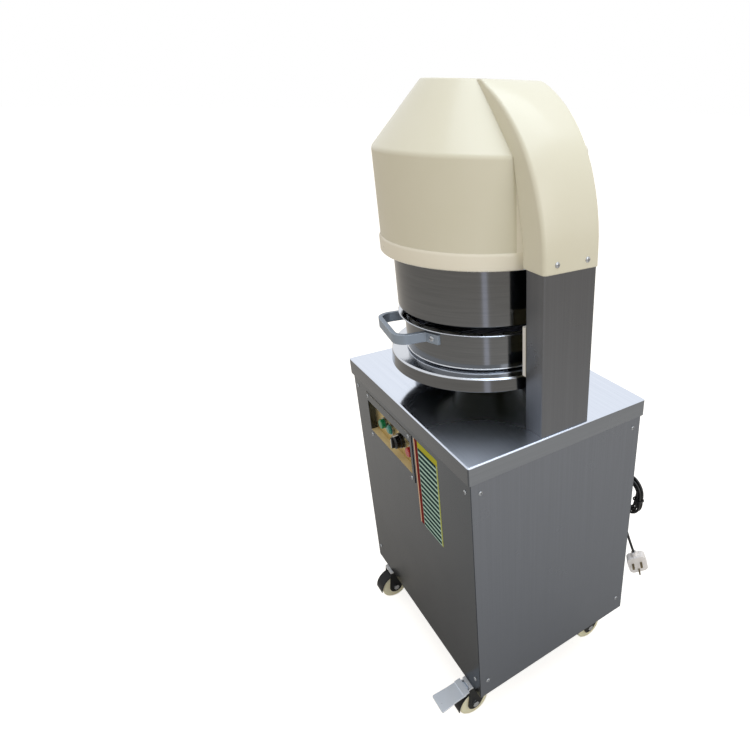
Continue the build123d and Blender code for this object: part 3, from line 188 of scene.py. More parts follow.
def dress(material, *names):
    """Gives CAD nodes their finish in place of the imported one."""
    for name in names:
        nodes[name].data.materials.clear()
        nodes[name].data.materials.append(material)


def dress_faces(name, material, chosen):
    """Gives the faces of a CAD node that a rule picks, by their centre and normal, a finish of their own."""
    mesh = nodes[name].data
    mesh.materials.append(material)
    for face in mesh.polygons:
        if chosen(face.center, face.normal):
            face.material_index = len(mesh.materials) - 1


def ranged(tree, value, start, end, low=0.0, high=1.0):
    """The output of a node that carries a value from one range to another."""
    inputs = {"Value": value, "From Min": start, "From Max": end, "To Min": low, "To Max": high}
    return add_node(tree, "ShaderNodeMapRange", inputs).outputs["Result"]


def close_material(tree, inputs):
    """Ends a material's tree with its shader."""
    shader = add_node(tree, "ShaderNodeBsdfPrincipled", inputs)
    add_node(tree, "ShaderNodeOutputMaterial", {"Surface": shader.outputs[0]})


def coated(name, colour, second, edge_wear_and_highlight, roughness, cell, relief, edge, inputs=None):
    """A skin of paint, gelcoat or moulded plastic.

    Two tones drift over some centimetres, cell is the width of its orange peel or mould texture, relief the
    depth of that, and within edge of a corner it turns towards the edge colour: wear on most skins, and a
    painted highlight on the blasted handle.
    """
    drift_size, scuff_size, gloss_spread = 0.09, 0.012, 0.06
    made, tree, place = new_material(name)
    tone = mix(tree, noise(tree, place, drift_size, 3.0), linear(colour), linear(second))
    rounded = add_node(tree, "ShaderNodeBevel", {"Radius": edge}, samples=4).outputs[0]
    facing = add_node(tree, "ShaderNodeNewGeometry").outputs["Normal"]
    bend = add_node(tree, "ShaderNodeVectorMath", {0: rounded, 1: facing}, operation="DOT_PRODUCT")
    scuff = noise(tree, place, scuff_size, 4.0)
    # Near corners the skin turns to the edge colour: wear, and on the handle a painted highlight.
    edge_rub_and_highlight = sums(tree, "SUBTRACT", 1.0, bend.outputs["Value"])
    edge_rub_and_highlight = sums(tree, "MULTIPLY", edge_rub_and_highlight, scuff)
    tone = mix(tree, ranged(tree, edge_rub_and_highlight, 0.03, 0.2), tone, linear(edge_wear_and_highlight))
    gloss = ranged(tree, scuff, 0.0, 1.0, roughness - gloss_spread, roughness + gloss_spread)
    peel = {"Height": noise(tree, place, cell), "Strength": 0.5, "Distance": relief, "Normal": rounded}
    bump = add_node(tree, "ShaderNodeBump", peel)
    skin_inputs = {"Base Color": tone, "Roughness": gloss, "Normal": bump.outputs[0]}
    close_material(tree, {**skin_inputs, **(inputs or {})})
    return made


primer = coated("grey_primer", "#4d5356", "#565c5e", "#7d7f80", 0.5, 0.003, 0.00008, 0.002)
dress(primer, "base_frame")

# Castors: pressed forks on zinc-plated swivel plates, with moulded nylon wheels on zinc-plated axle nuts.
# The cheeks are dipped in black paint below zinc-plated crowns.
# The front right castor has a brake pedal in bluish zinc.


def worked_metal(
    name,
    colour,
    second,
    grain,
    roughness,
    edge,
    round_axis=False,
    depth=0.00006,
    foot=None,
    crest_highlight=None,
    rubbed=None,
):
    """Bare metal with the marks of its last tool.

    grain is the size of a mark along each axis. On turned and spun work it is given across the wall, round it
    and along the axis, and the marks then run round the Z axis. They are drawn wider than they are, to show.
    foot is a duller colour that the metal turns to towards its foot, fading in between two heights, and the
    share of its
    glancing shine that it keeps there: painted shade that dims its colour and its reflection low down.
    crest_highlight is a brighter colour on faces and rounded edges that look up at the light, a painted
    highlight.
    rubbed is a place, the reach round it and the roughness that use has left there.
    """
    hands_size, gloss_spread = 0.08, 0.1
    made, tree, place = new_material(name)
    read = place
    if round_axis:
        flat = add_node(tree, "ShaderNodeVectorMath", {0: place, 1: (1, 1, 0)}, operation="MULTIPLY")
        reach = add_node(tree, "ShaderNodeVectorMath", {0: flat.outputs[0]}, operation="LENGTH")
        split = add_node(tree, "ShaderNodeSeparateXYZ", {0: place}).outputs
        turn = sums(tree, "ARCTAN2", split["Y"], split["X"])
        polar = {0: reach.outputs["Value"], 1: turn, 2: split["Z"]}
        read = add_node(tree, "ShaderNodeCombineXYZ", polar).outputs[0]
    per_metre = [1 / size for size in grain]
    stretch = add_node(tree, "ShaderNodeVectorMath", {0: read, 1: per_metre}, operation="MULTIPLY")
    marks = noise(tree, stretch.outputs[0], 1.0, 3.0)
    tone = mix(tree, marks, linear(colour), linear(second))
    glance = {}
    if foot:
        # Painted shade: lower down the metal turns darker and keeps less of its glancing shine.
        dull, low, high, kept = foot
        level = add_node(tree, "ShaderNodeSeparateXYZ", {0: place}).outputs["Z"]
        fade = ranged(tree, level, low, high, 1.0, 0.0)
        tone = mix(tree, fade, tone, linear(dull))
        glance = {"Specular Tint": mix(tree, fade, (1, 1, 1, 1), (kept, kept, kept, 1))}
    hands = noise(tree, place, hands_size, 3.0)
    gloss = ranged(tree, hands, 0.3, 0.7, (1 - gloss_spread) * roughness, (1 + gloss_spread) * roughness)
    if rubbed:
        spot, reach, dulled = rubbed
        away = add_node(tree, "ShaderNodeVectorMath", {0: place, 1: spot}, operation="DISTANCE")
        gloss = ranged(tree, away.outputs["Value"], 0.0, reach, dulled, gloss)
    rounded = add_node(tree, "ShaderNodeBevel", {"Radius": edge}, samples=4).outputs[0]
    # Painted highlight: faces and rounded edges that look up turn to a brighter colour.
    if crest_highlight:
        rise = add_node(tree, "ShaderNodeSeparateXYZ", {0: rounded}).outputs["Z"]
        tone = mix(tree, ranged(tree, rise, 0.3, 0.75), tone, linear(crest_highlight))
    scratch = {"Height": marks, "Strength": 0.4, "Distance": depth, "Normal": rounded}
    bump = add_node(tree, "ShaderNodeBump", scratch)
    skin_inputs = {"Base Color": tone, "Metallic": 1.0, "Roughness": gloss, "Normal": bump.outputs[0]}
    close_material(tree, {**skin_inputs, **glance})
    return made


zinc = worked_metal("bright_zinc_plate", "#a4a7ab", "#bcbfc3", (0.006, 0.006, 0.006), 0.26, 0.0008)
# A paler, less metallic copy of the zinc plate for the swivel plates and fork crowns, painted light.
pale_zinc_painted_light = coated(
    "pale_zinc_pressing", "#d6dce4", "#e4e9ef", "#f6f8fb", 0.3, 0.005, 0.00005, 0.001, {"Metallic": 0.35}
)
blue_zinc = coated(
    "blue_passivated_zinc", "#d3dfef", "#e6effa", "#fbfdff", 0.3, 0.005, 0.00005, 0.001, {"Metallic": 0.3}
)
dulled = {"Specular IOR Level": 0.2}
black_dip = coated(
    "black_dipped_steel", "#121416", "#191b1d", "#3a3b3c", 0.34, 0.004, 0.00006, 0.0012, dulled
)
clouded = {"Subsurface Weight": 0.15, "Subsurface Radius": (0.004, 0.003, 0.002)}
nylon = coated("ivory_nylon", "#ecebcb", "#f3f2da", "#d6d4ae", 0.42, 0.002, 0.00004, 0.0015, clouded)
corners = [f"{end}_{side}" for end in ("front", "rear") for side in ("left", "right")]
dress(pale_zinc_painted_light, "castor_plates")
dress(blue_zinc, "brake_pedal")
dress(black_dip, *[f"{corner}_fork" for corner in corners])
dress(nylon, *[f"{corner}_wheel" for corner in corners])
nut_depth, crown_drop = 0.0049, 0.009
crown_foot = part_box("castor_plates")[0].z - crown_drop
for corner in corners:
    fork_low, fork_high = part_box(f"{corner}_fork")
    nut_start, nut_end = fork_low.x + nut_depth, fork_high.x - nut_depth
    dress_faces(f"{corner}_fork", zinc, lambda centre, normal: not nut_start < centre.x < nut_end)
    # The crowns take the paler zinc, painted light.
    dress_faces(f"{corner}_fork", pale_zinc_painted_light, lambda centre, normal: centre.z > crown_foot)

# Drive: a gearmotor on the base plate turns the screw, and the nut draws the yoke and both rods down.
# The castings have hammered grey-blue paint, the moving parts are turned steel.
# The nut and the bushes are bronze.
drive_paint = coated("hammered_drive_paint", "#4f5f6a", "#5a6973", "#8a8f92", 0.4, 0.005, 0.00025, 0.002)
turned_steel = worked_metal(
    "turned_steel", "#8b8e91", "#a3a6a8", (0.002, 0.4, 0.002), 0.26, 0.0008, round_axis=True
)
bronze = worked_metal("cast_bronze", "#8a6332", "#a67c44", (0.003, 0.003, 0.003), 0.34, 0.001)
dress(drive_paint, "gearbox", "motor")
dress(turned_steel, "drive_screw", "screw_coupling", "yoke", "pull_rods", "crosshead")
dress(bronze, "screw_nut", "rod_bushes")
dress(primer, "screw_bearing")

# Cabinet: four folded stainless panels and a top plate with a turned-down lip.
# The sheet is satin brushed upright, and the top is rolled smooth.
# The bends of the top catch the light as a bright line, and its front corner is rubbed dull.
# The panels darken towards their foot, painted shade, and the front panel, the front of the lip and the posts
# take darker copies of the sheet, painted shade too. The top's upward faces take a pale bluish copy, a
# painted reflection.
sheet_grain = (0.004, 0.004, 0.35)
# Side and rear panels: darker towards their foot, painted shade.
brushed = worked_metal(
    "satin_stainless", "#777b82", "#83878f", sheet_grain, 0.3, 0.0015, foot=("#6a6e75", 0.11, 0.7, 1.0)
)
# A darker copy of the sheet for the posts, painted shade.
post_shaded_sheet = worked_metal("satin_stainless_post", "#6c6e72", "#77797d", sheet_grain, 0.3, 0.0015)
# A darker copy of the sheet for the front panel and the recess box, painted shade, darker still towards its
# foot.
front_shaded_sheet = worked_metal(
    "satin_stainless_front", "#464b51", "#4e5359", sheet_grain, 0.2, 0.0015, foot=("#303439", 0.11, 0.7, 0.72)
)
lip_sheet = worked_metal("satin_stainless_lip", "#81858b", "#8d9197", (0.3, 0.3, 0.004), 0.3, 0.001)
# A darker copy of the lip sheet for its front-facing faces, painted shade.
front_lip_shaded = worked_metal(
    "satin_stainless_front_lip", "#5a5d61", "#63666a", (0.3, 0.3, 0.004), 0.24, 0.001
)
top_low, top_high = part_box("top_plate")
top_corner = top_high.x, top_low.y, top_high.z
top_rub = (top_corner, 0.3, 0.5)
# The top's pale bluish tone is a painted reflection of the bright room.
smooth_top_painted_reflection = worked_metal(
    "rolled_stainless_painted_reflection", "#d6deec", "#e4ebf8", (0.25, 0.006, 0.006), 0.1, 0.001, depth=0.00002, rubbed=top_rub
)
bend_start, mainly = 0.3, 0.5
dress(brushed, "rear_panel", "left_panel", "right_panel")
dress(post_shaded_sheet, "left_post", "right_post")
dress(front_shaded_sheet, "front_panel")
dress(lip_sheet, "top_plate")
# The lip's front faces take the darker copy, painted shade.
dress_faces("top_plate", front_lip_shaded, lambda centre, normal: normal.y < -mainly)
# Upward faces of the top take the painted reflection.
dress_faces("top_plate", smooth_top_painted_reflection, lambda centre, normal: normal.z > bend_start)

# Panel screws: zinc-plated pan heads with a cross recess, at the corners of each panel.
# Four more hold the flange of the control recess on the front.


def new_tree(name, sizes):
    """A geometry node tree with an input for each size, and the outputs of its input node."""
    tree = bpy.data.node_groups.new(name, "GeometryNodeTree")
    tree.interface.new_socket("Geometry", in_out="INPUT", socket_type="NodeSocketGeometry")
    for label, value in sizes.items():
        kind = "Vector" if isinstance(value, tuple) else "Int" if isinstance(value, int) else "Float"
        tree.interface.new_socket(label, in_out="INPUT", socket_type="NodeSocket" + kind)
    tree.interface.new_socket("Geometry", in_out="OUTPUT", socket_type="NodeSocketGeometry")
    return tree, add_node(tree, "NodeGroupInput").outputs


def close_tree(tree, points, instance, material, **inputs):
    """Ends a tree with its instances set on the points, made real and given a material."""
    inputs = {"Points": points, "Instance": instance, **inputs}
    placed = add_node(tree, "GeometryNodeInstanceOnPoints", inputs)
    real = add_node(tree, "GeometryNodeRealizeInstances", {"Geometry": placed.outputs[0]})
    painted = add_node(tree, "GeometryNodeSetMaterial", {"Geometry": real.outputs[0], "Material": material})
    add_node(tree, "NodeGroupOutput", {"Geometry": painted.outputs[0]})


def set_on(name, mesh, body):
    """A piece with this mesh, set on its body."""
    piece = bpy.data.objects.new(name, mesh)
    scene.collection.objects.link(piece)
    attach(piece, body)
    return piece


def grow(name, mesh, tree, sizes, body, replaced):
    """Runs a node tree on a mesh once, keeps what it makes as a plain mesh, and sets it on its body."""
    seed = bpy.data.objects.new(name + "_points", mesh)
    scene.collection.objects.link(seed)
    modifier = seed.modifiers.new(name, "NODES")
    modifier.node_group = tree
    for item in tree.interface.items_tree:
        if item.in_out == "INPUT" and item.name in sizes:
            modifier[item.identifier] = sizes[item.name]
    graph = bpy.context.evaluated_depsgraph_get()
    grown = bpy.data.meshes.new_from_object(seed.evaluated_get(graph))
    bpy.data.objects.remove(seed)
    piece = set_on(name, grown, body)
    if replaced:
        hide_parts(*replaced)
    return piece


def heads(name, spots, radius, height, slot_width, material, body, slot, replaced):
    """Screw heads on their spots, each a point and the way that it faces, grown by a node tree."""
    sizes = {"Head Radius": radius, "Head Height": height, "Slot Width": slot_width}
    tree, given = new_tree(name, sizes)
    broad, tall = given["Head Radius"], given["Head Height"]
    full = add_node(tree, "ShaderNodeCombineXYZ", {0: broad, 1: broad, 2: tall}).outputs[0]
    lift = add_node(tree, "ShaderNodeCombineXYZ", {2: tall}).outputs[0]
    ball = add_node(tree, "GeometryNodeMeshUVSphere", {"Segments": 20, "Rings": 12, "Radius": 1.0})
    dome = add_node(tree, "GeometryNodeTransform", {"Geometry": ball.outputs["Mesh"], "Scale": full})
    keep = add_node(tree, "ShaderNodeVectorMath", {0: full, 1: (4, 4, 2)}, operation="MULTIPLY")
    block = add_node(tree, "GeometryNodeMeshCube", {"Size": keep.outputs[0]}).outputs["Mesh"]
    block = add_node(tree, "GeometryNodeTransform", {"Geometry": block, "Translation": lift})
    dome = add_node(tree, "GeometryNodeMeshBoolean", {"Mesh 2": dome.outputs[0]}, operation="INTERSECT")
    tree.links.new(block.outputs[0], dome.inputs["Mesh 2"])
    arm = add_node(tree, "ShaderNodeVectorMath", {0: full, 1: (1.1, 0, 1)}, operation="MULTIPLY")
    wide = add_node(tree, "ShaderNodeCombineXYZ", {1: given["Slot Width"]}).outputs[0]
    arm = add_node(tree, "ShaderNodeVectorMath", {0: arm.outputs[0], 1: wide}, operation="ADD")
    bar = add_node(tree, "GeometryNodeMeshCube", {"Size": arm.outputs[0]}).outputs["Mesh"]
    bar = add_node(tree, "GeometryNodeTransform", {"Geometry": bar, "Translation": lift}).outputs[0]
    cross = add_node(tree, "GeometryNodeTransform", {"Geometry": bar, "Rotation": (0, 0, pi / 2)})
    cut = {"Mesh 1": dome.outputs["Mesh"], "Mesh 2": bar}
    slotted = add_node(tree, "GeometryNodeMeshBoolean", cut, operation="DIFFERENCE")
    tree.links.new(cross.outputs[0], slotted.inputs["Mesh 2"])
    facing = add_node(tree, "GeometryNodeInputNamedAttribute", {"Name": "facing"}, data_type="FLOAT_VECTOR")
    aim = facing.outputs["Attribute"]
    turn = add_node(tree, "FunctionNodeAlignRotationToVector", {"Vector": aim}, axis="Z").outputs["Rotation"]
    close_tree(tree, given["Geometry"], slotted.outputs["Mesh"], material, Rotation=turn)
    mesh = bpy.data.meshes.new(name)
    mesh.from_pydata([spot for spot, _ in spots], [], [])
    ways = mesh.attributes.new("facing", "FLOAT_VECTOR", "POINT")
    ways.data.foreach_set("vector", [c for _, way in spots for c in way])
    return grow(name, mesh, tree, sizes, body, replaced)


panel_low, panel_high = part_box("front_panel")
side_low, side_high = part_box("right_panel")
flange_low, flange_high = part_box("control_recess")
panel_head = 0.005, 0.0026, 0.0013  # radius, height and slot width
screw_inset, screw_drop, screw_rise = 0.020, 0.053, 0.045
screw_heights = (panel_high.z - screw_drop, panel_low.z + screw_rise)
flange_inset_x, flange_inset_z = 0.014, 0.007
front_way, side_way = Vector((0, -1, 0)), Vector((1, 0, 0))
panel_spots = []
for way in (-1, 1):
    for height in screw_heights:
        for across in (panel_low.x + screw_inset, panel_high.x - screw_inset):
            panel_spots.append((Vector((across, way * abs(panel_low.y), height)), -way * front_way))
        for along in (side_low.y + screw_inset, side_high.y - screw_inset):
            panel_spots.append((Vector((way * side_high.x, along, height)), way * side_way))
for across in (flange_low.x + flange_inset_x, flange_high.x - flange_inset_x):
    for height in (flange_low.z + flange_inset_z, flange_high.z - flange_inset_z):
        panel_spots.append((Vector((across, flange_low.y, height)), front_way))
screw_zinc = worked_metal("bright_zinc_screw", "#94979b", "#b4b7bb", (0.003, 0.003, 0.003), 0.16, 0.0005)
heads("panel_screw_heads", panel_spots, *panel_head, screw_zinc, "cabinet", "zinc_plate", ["panel_screws"])

# Control recess: a folded stainless box let into the front, with a gold anodised plate at its back.
# On the plate are a green start button, a lamp, a black selector knob and a red stop button in metal collars.
# The upward faces of the flange's upper half are painted pale, a painted highlight, and the upward faces of
# its lower half, the floor of the box, are painted pale gold, painted light.
gold = worked_metal("gold_anodised_plate", "#c9b47c", "#dcc892", (0.12, 0.003, 0.003), 0.42, 0.0008)
collar = worked_metal("satin_nickel_collar", "#8e908c", "#a2a4a0", (0.002, 0.002, 0.002), 0.25, 0.0006)
green = coated("green_push_button", "#157a4c", "#1a8856", "#2fa06c", 0.2, 0.002, 0.00003, 0.001)
red = coated("red_push_button", "#a51d18", "#b3271f", "#cf4a3c", 0.25, 0.002, 0.00003, 0.001)
black_knob = coated("black_phenolic", "#0b0b0c", "#111113", "#2a2a2a", 0.2, 0.002, 0.00003, 0.001)
pointer_and_highlight_paint = coated(
    "white_pointer_paint", "#e2e2de", "#efefeb", "#f4f4f2", 0.4, 0.001, 0.00002, 0.0004
)
clear = {"Transmission Weight": 0.35}
lens = coated("teal_lamp_lens", "#2f9a8c", "#46b3a2", "#8fd6c8", 0.18, 0.003, 0.0003, 0.001, clear)
switch_black = coated(
    "switch_block_polyamide", "#1d1e20", "#242527", "#3c3c3c", 0.5, 0.0015, 0.00005, 0.001
)
# Pale sheet for upward faces above the middle, a painted highlight; pale gold for those below, painted light.
flange_top_painted_highlight = coated("flange_top_pale_painted_highlight", "#b4b4af", "#c2c2bd", "#d8d8d4", 0.4, 0.002, 0.00002, 0.0004)
box_floor_painted_light = coated("box_floor_pale_gold_painted_light", "#d3c296", "#ddcda6", "#efe2bd", 0.4, 0.003, 0.00003, 0.0006)
recess_half = (flange_low.z + flange_high.z) / 2
dress(front_shaded_sheet, "control_recess")
dress_faces("control_recess", flange_top_painted_highlight, lambda centre, normal: normal.z > mainly and centre.z > recess_half)
dress_faces("control_recess", box_floor_painted_light, lambda centre, normal: normal.z > mainly and centre.z < recess_half)
dress(gold, "control_plate")
dress(collar, "button_collars")
dress(green, "start_button")
dress(red, "stop_button")
dress(black_knob, "selector_knob")
dress(lens, "pilot_lamp")
dress(switch_black, "switch_blocks")


def outline(width, height, radius, steps=5):
    """Points round a rectangle with rounded corners, about its middle."""
    points = []
    for corner, (x, y) in enumerate(((1, 1), (-1, 1), (-1, -1), (1, -1))):
        for step in range(steps + 1):
            turn = (corner + step / steps) * pi / 2
            across = x * (width / 2 - radius) + radius * cos(turn)
            along = y * (height / 2 - radius) + radius * sin(turn)
            points.append((across, along))
    return points


def closed_mesh(name, points, faces):
    """A mesh of these points and faces, with its normals turned outward."""
    mesh = bpy.data.meshes.new(name)
    mesh.from_pydata(points, [], faces)
    shell = bmesh.new()
    shell.from_mesh(mesh)
    bmesh.ops.recalc_face_normals(shell, faces=shell.faces)
    shell.to_mesh(mesh)
    shell.free()
    return mesh


def skin(name, rings):
    """A closed mesh that runs through rings of points and is capped at both ends."""
    count = len(rings[0])
    last = (len(rings) - 1) * count
    faces = [tuple(range(count)), tuple(range(last, last + count))]
    for start in range(0, last, count):
        for k in range(count):
            near, far = start + k, start + (k + 1) % count
            faces.append((near, far, far + count, near + count))
    return closed_mesh(name, [point for ring in rings for point in ring], faces)


def skinned(name, rings, material, body):
    """A closed piece on a body, skinned over rings of points."""
    mesh = skin(name, rings)
    mesh.materials.append(material)
    return set_on(name, mesh, body)


# The knob's cap has a grip across it, with a white line that runs on over the top of the knob. The strip
# along the top is partly pointer paint and partly a painted highlight.
knob_low, knob_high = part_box("selector_knob")
knob_middle = (knob_low + knob_high) / 2
grip_turn = radians(90)
grip_length, grip_width, grip_height = 0.027, 0.008, 0.005
grip_foot = outline(grip_length, grip_width, grip_width * 0.48)
grip_top = outline(grip_length * 0.94, grip_width * 0.7, grip_width * 0.3)
grip_seat, grip_shoulder = 0.001, grip_height * 0.7
line_length, line_width, line_height, line_seat = 0.023, 0.0026, 0.0003, 0.0002
line_shape = outline(line_length, line_width, line_width * 0.45)
cap_radius, cap_line_start, cap_line_end = 0.016, 0.0005, 0.013
cap_line_shape = outline(1.7 * line_width, 4 * line_height, line_height)


def on_knob(points, proud):
    """A ring of points on the knob's cap, turned with its grip, so far in front of the cap."""
    ring = []
    for x, y in points:
        across = x * cos(grip_turn) - y * sin(grip_turn)
        rise = x * sin(grip_turn) + y * cos(grip_turn)
        ring.append(Vector((knob_middle.x + across, knob_low.y - proud, knob_middle.z + rise)))
    return ring


grip_rings = [
    on_knob(grip_foot, -grip_seat),
    on_knob(grip_foot, grip_shoulder),
    on_knob(grip_top, grip_height),
]
skinned("selector_grip", grip_rings, black_knob, "selector")
line_rings = [on_knob(line_shape, proud) for proud in (grip_height - line_seat, grip_height + line_height)]
skinned("selector_line", line_rings, pointer_and_highlight_paint, "selector")
# White strip along the knob's top: part pointer, part painted highlight.
cap_top = knob_middle.z + cap_radius - line_height
cap_rings = [
    [Vector((knob_middle.x + x, knob_low.y + back, cap_top + z)) for x, z in cap_line_shape]
    for back in (cap_line_start, cap_line_end)
]
skinned("selector_cap_line", cap_rings, pointer_and_highlight_paint, "selector")

# Chart: a printed vinyl sheet stuck on the front beside the controls, with ruled rows and no lettering.
# It has a yellow-green head and edge, a red stripe on its left, and dark rows on a pale green ground.
chart_left, chart_right, chart_low, chart_high = 0.048, 0.155, 0.464, 0.690
chart_sheet, chart_ink, chart_seat, chart_round = 0.00025, 0.0001, 0.0001, 0.0012
# Each print is given by its left, right, foot and head as shares of the sheet, its layer and two tones.
chart_parts = (
    ("chart_sheet", 0.0, 1.0, 0.0, 1.0, 0.0, "#b5dacf", "#c4e4da"),
    ("chart_head", 0.165, 1.0, 0.93, 1.0, 1.0, "#b3b32c", "#c3c243"),
    ("chart_edge", 0.945, 1.0, 0.0, 0.93, 1.0, "#a9b05a", "#b9c06f"),
    ("chart_border", 0.0, 0.04, 0.0, 1.0, 1.0, "#ecc3a0", "#f2d0b4"),
    ("chart_stripe", 0.04, 0.165, 0.0, 1.0, 1.0, "#6e1009", "#7b160d"),
)
matt_ink = {"Specular IOR Level": 0.03}
front_face = panel_low.y


def on_front(points, middle_x, middle_z, proud):
    """A ring of points on the front panel, about a middle, so far in front of the sheet."""
    return [Vector((middle_x + x, front_face - proud, middle_z + z)) for x, z in points]


chart_width, chart_height = chart_right - chart_left, chart_high - chart_low
for name, left, right_end, low, high, layer, colour, second in chart_parts:
    print_width, print_height = (right_end - left) * chart_width, (high - low) * chart_height
    middle_x = chart_left + (left + right_end) / 2 * chart_width
    middle_z = chart_low + (low + high) / 2 * chart_height
    shape = outline(print_width, print_height, chart_round)
    base = layer * chart_sheet - chart_seat
    top = chart_sheet + layer * chart_ink
    vinyl = coated("printed_vinyl_" + name, colour, second, second, 0.5, 0.002, 0.00002, 0.0003, matt_ink)
    rings = [on_front(shape, middle_x, middle_z, proud) for proud in (base, top)]
    skinned(name, rings, vinyl, "cabinet")

row_ink = coated(
    "printed_vinyl_rows", "#06302f", "#0b3937", "#124340", 0.5, 0.002, 0.00002, 0.0003, matt_ink
)
row_middle, row_drop = chart_left + 0.555 * chart_width, 0.0195
rows = {
    "Row Count": 16,
    "Row Pitch": 0.0133,
    "Row Height": 0.0080,
    "Row Width": 0.081,
    "Row Depth": 2 * chart_ink,
    "Top Row": (row_middle, front_face - chart_sheet, chart_high - row_drop),
}
tree, given = new_tree("chart_rows", rows)
fall = sums(tree, "MULTIPLY", given["Row Pitch"], -1.0)
fall = add_node(tree, "ShaderNodeCombineXYZ", {2: fall}).outputs[0]
spots = add_node(
    tree,
    "GeometryNodeMeshLine",
    {"Count": given["Row Count"], "Start Location": given["Top Row"], "Offset": fall},
)
broad, deep, tall = given["Row Width"], given["Row Depth"], given["Row Height"]
size = add_node(tree, "ShaderNodeCombineXYZ", {0: broad, 1: deep, 2: tall})
bar = add_node(tree, "GeometryNodeMeshCube", {"Size": size.outputs[0]})
close_tree(tree, spots.outputs[0], bar.outputs["Mesh"], row_ink)
grow("chart_rows", bpy.data.meshes.new("chart_rows"), tree, rows, "cabinet", [])

# Head plate: a flame-cut steel ring in grey primer, whose two arms are bolted down on the posts.
# Each arm is narrow where it passes through the hood's round body and broad over its post.
plate_low, plate_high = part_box("head_plate")
ring_radius, ring_opening, ring_steps = 0.2047, 0.195, 60
arm_half, arm_broad, arm_start = 0.038, 0.0587, 0.2323
rod_across, rod_hole, hole_steps = 0.246, 0.0151, 96
cut_low, cut_high = 1.08, 1.12


def arc(across, radius, start, end, steps):
    """Points on an arc about a place on the X axis, with both its ends."""
    turns = [start + (end - start) * k / steps for k in range(steps + 1)]
    return [(across + radius * cos(turn), radius * sin(turn)) for turn in turns]


def settle(piece):
    """Keeps what a piece's modifiers make of its mesh as its plain mesh."""
    bpy.context.view_layer.update()
    graph = bpy.context.evaluated_depsgraph_get()
    made = bpy.data.meshes.new_from_object(piece.evaluated_get(graph))
    piece.modifiers.clear()
    piece.data = made


def work(piece, solid, operation):
    """Joins a solid to a piece, or cuts it away."""
    tool = bpy.data.objects.new("tool", solid)
    scene.collection.objects.link(tool)
    step = piece.modifiers.new("work", "BOOLEAN")
    step.operation, step.solver, step.object = operation, "EXACT", tool
    settle(piece)
    bpy.data.objects.remove(tool)


lean = asin(arm_half / ring_radius)
arm = [(arm_start, arm_half), (arm_start, arm_broad), (plate_high.x, arm_broad)]
arm = [(x, -y) for x, y in arm] + arm[::-1]
plate_edge = arm + arc(0, ring_radius, lean, pi - lean, ring_steps) + [(-x, -y) for x, y in arm]
plate_edge += arc(0, ring_radius, pi + lean, 2 * pi - lean, ring_steps)
plate_rings = [[(x, y, height) for x, y in plate_edge] for height in (plate_low.z, plate_high.z)]
plate_piece = skinned("head_plate_piece", plate_rings, primer, "cabinet")
for across, radius in ((0, ring_opening), (-rod_across, rod_hole), (rod_across, rod_hole)):
    hole = arc(across, radius, 0, 2 * pi, hole_steps)[1:]
    hole_rings = [[(x, y, height) for x, y in hole] for height in (cut_low, cut_high)]
    work(plate_piece, skin("plate_hole", hole_rings), "DIFFERENCE")
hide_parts("head_plate")

# Head: the crosshead pulls the knife carrier down, and its skirt holds rings and blades for 36 pieces.
# A pad of white nylon fills each cell, on a press plate that hangs from four sprung guide rods.
knife_steel = worked_metal(
    "ground_knife_steel", "#8f9294", "#a7aaac", (0.002, 0.3, 0.004), 0.2, 0.0006, round_axis=True
)
pad_nylon = coated("white_nylon_pad", "#e2dfd4", "#eae8de", "#d8d5c8", 0.45, 0.002, 0.00004, 0.001)
dress(knife_steel, "knife_carrier", "knife_skirt", "knife_grid", "press_plate", "guide_rods")
dress(pad_nylon, "press_pads")

# Platen springs: four compression springs of drawn wire round the guide rods, between plate and carrier.
# The wire is oiled and dark.
spring_wire = worked_metal("oiled_spring_wire", "#4b4c4e", "#5d5e60", (0.002, 0.002, 0.002), 0.3, 0.0004)
springs_low, springs_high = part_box("platen_springs")
spring_height = springs_high.z - springs_low.z
spring_outer, wire_radius, plate_travel = 0.011, 0.00125, 0.055
springs = {
    "Turns": 9.0,
    "Coil Radius": spring_outer - wire_radius,
    "Wire Radius": wire_radius,
    "Free Height": spring_height - 2 * wire_radius,
}
tree, given = new_tree("platen_springs", springs)
coil = add_node(
    tree,
    "GeometryNodeCurveSpiral",
    {
        "Resolution": 20,
        "Rotations": given["Turns"],
        "Start Radius": given["Coil Radius"],
        "End Radius": given["Coil Radius"],
        "Height": given["Free Height"],
    },
)
section = add_node(
    tree, "GeometryNodeCurvePrimitiveCircle", {"Resolution": 8, "Radius": given["Wire Radius"]}
)
wound = add_node(
    tree,
    "GeometryNodeCurveToMesh",
    {"Curve": coil.outputs["Curve"], "Profile Curve": section.outputs["Curve"], "Fill Caps": True},
)
close_tree(tree, given["Geometry"], wound.outputs["Mesh"], spring_wire)
rod_reach = springs_high.x - spring_outer
rod_foot = springs_low.z + wire_radius
rod_spots = bpy.data.meshes.new("platen_springs")
rod_spots.from_pydata([(x * rod_reach, y * rod_reach, rod_foot) for x in (-1, 1) for y in (-1, 1)], [], [])
spring_coils = grow("spring_coils", rod_spots, tree, springs, "head", ["platen_springs"])
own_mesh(spring_coils)

# Drum, pan table and pan: spun from polished stainless, with faint rings from the polishing wheel.
# The drum hangs from the head plate and stays still, and the table stands on its cast pedestal, whose
# near-black olive is partly its paint and partly painted shade under the table.
# Faces and rounded edges that look up turn pale grey, a painted highlight.
polished = worked_metal(
    "polished_stainless",
    "#66686a",
    "#797b7e",
    (0.003, 0.5, 0.003),
    0.13,
    0.0016,
    round_axis=True,
    depth=0.00003,
    crest_highlight="#d3d7de",
)
low_shine, least_shine = {"Specular IOR Level": 0.15}, {"Specular IOR Level": 0.1}
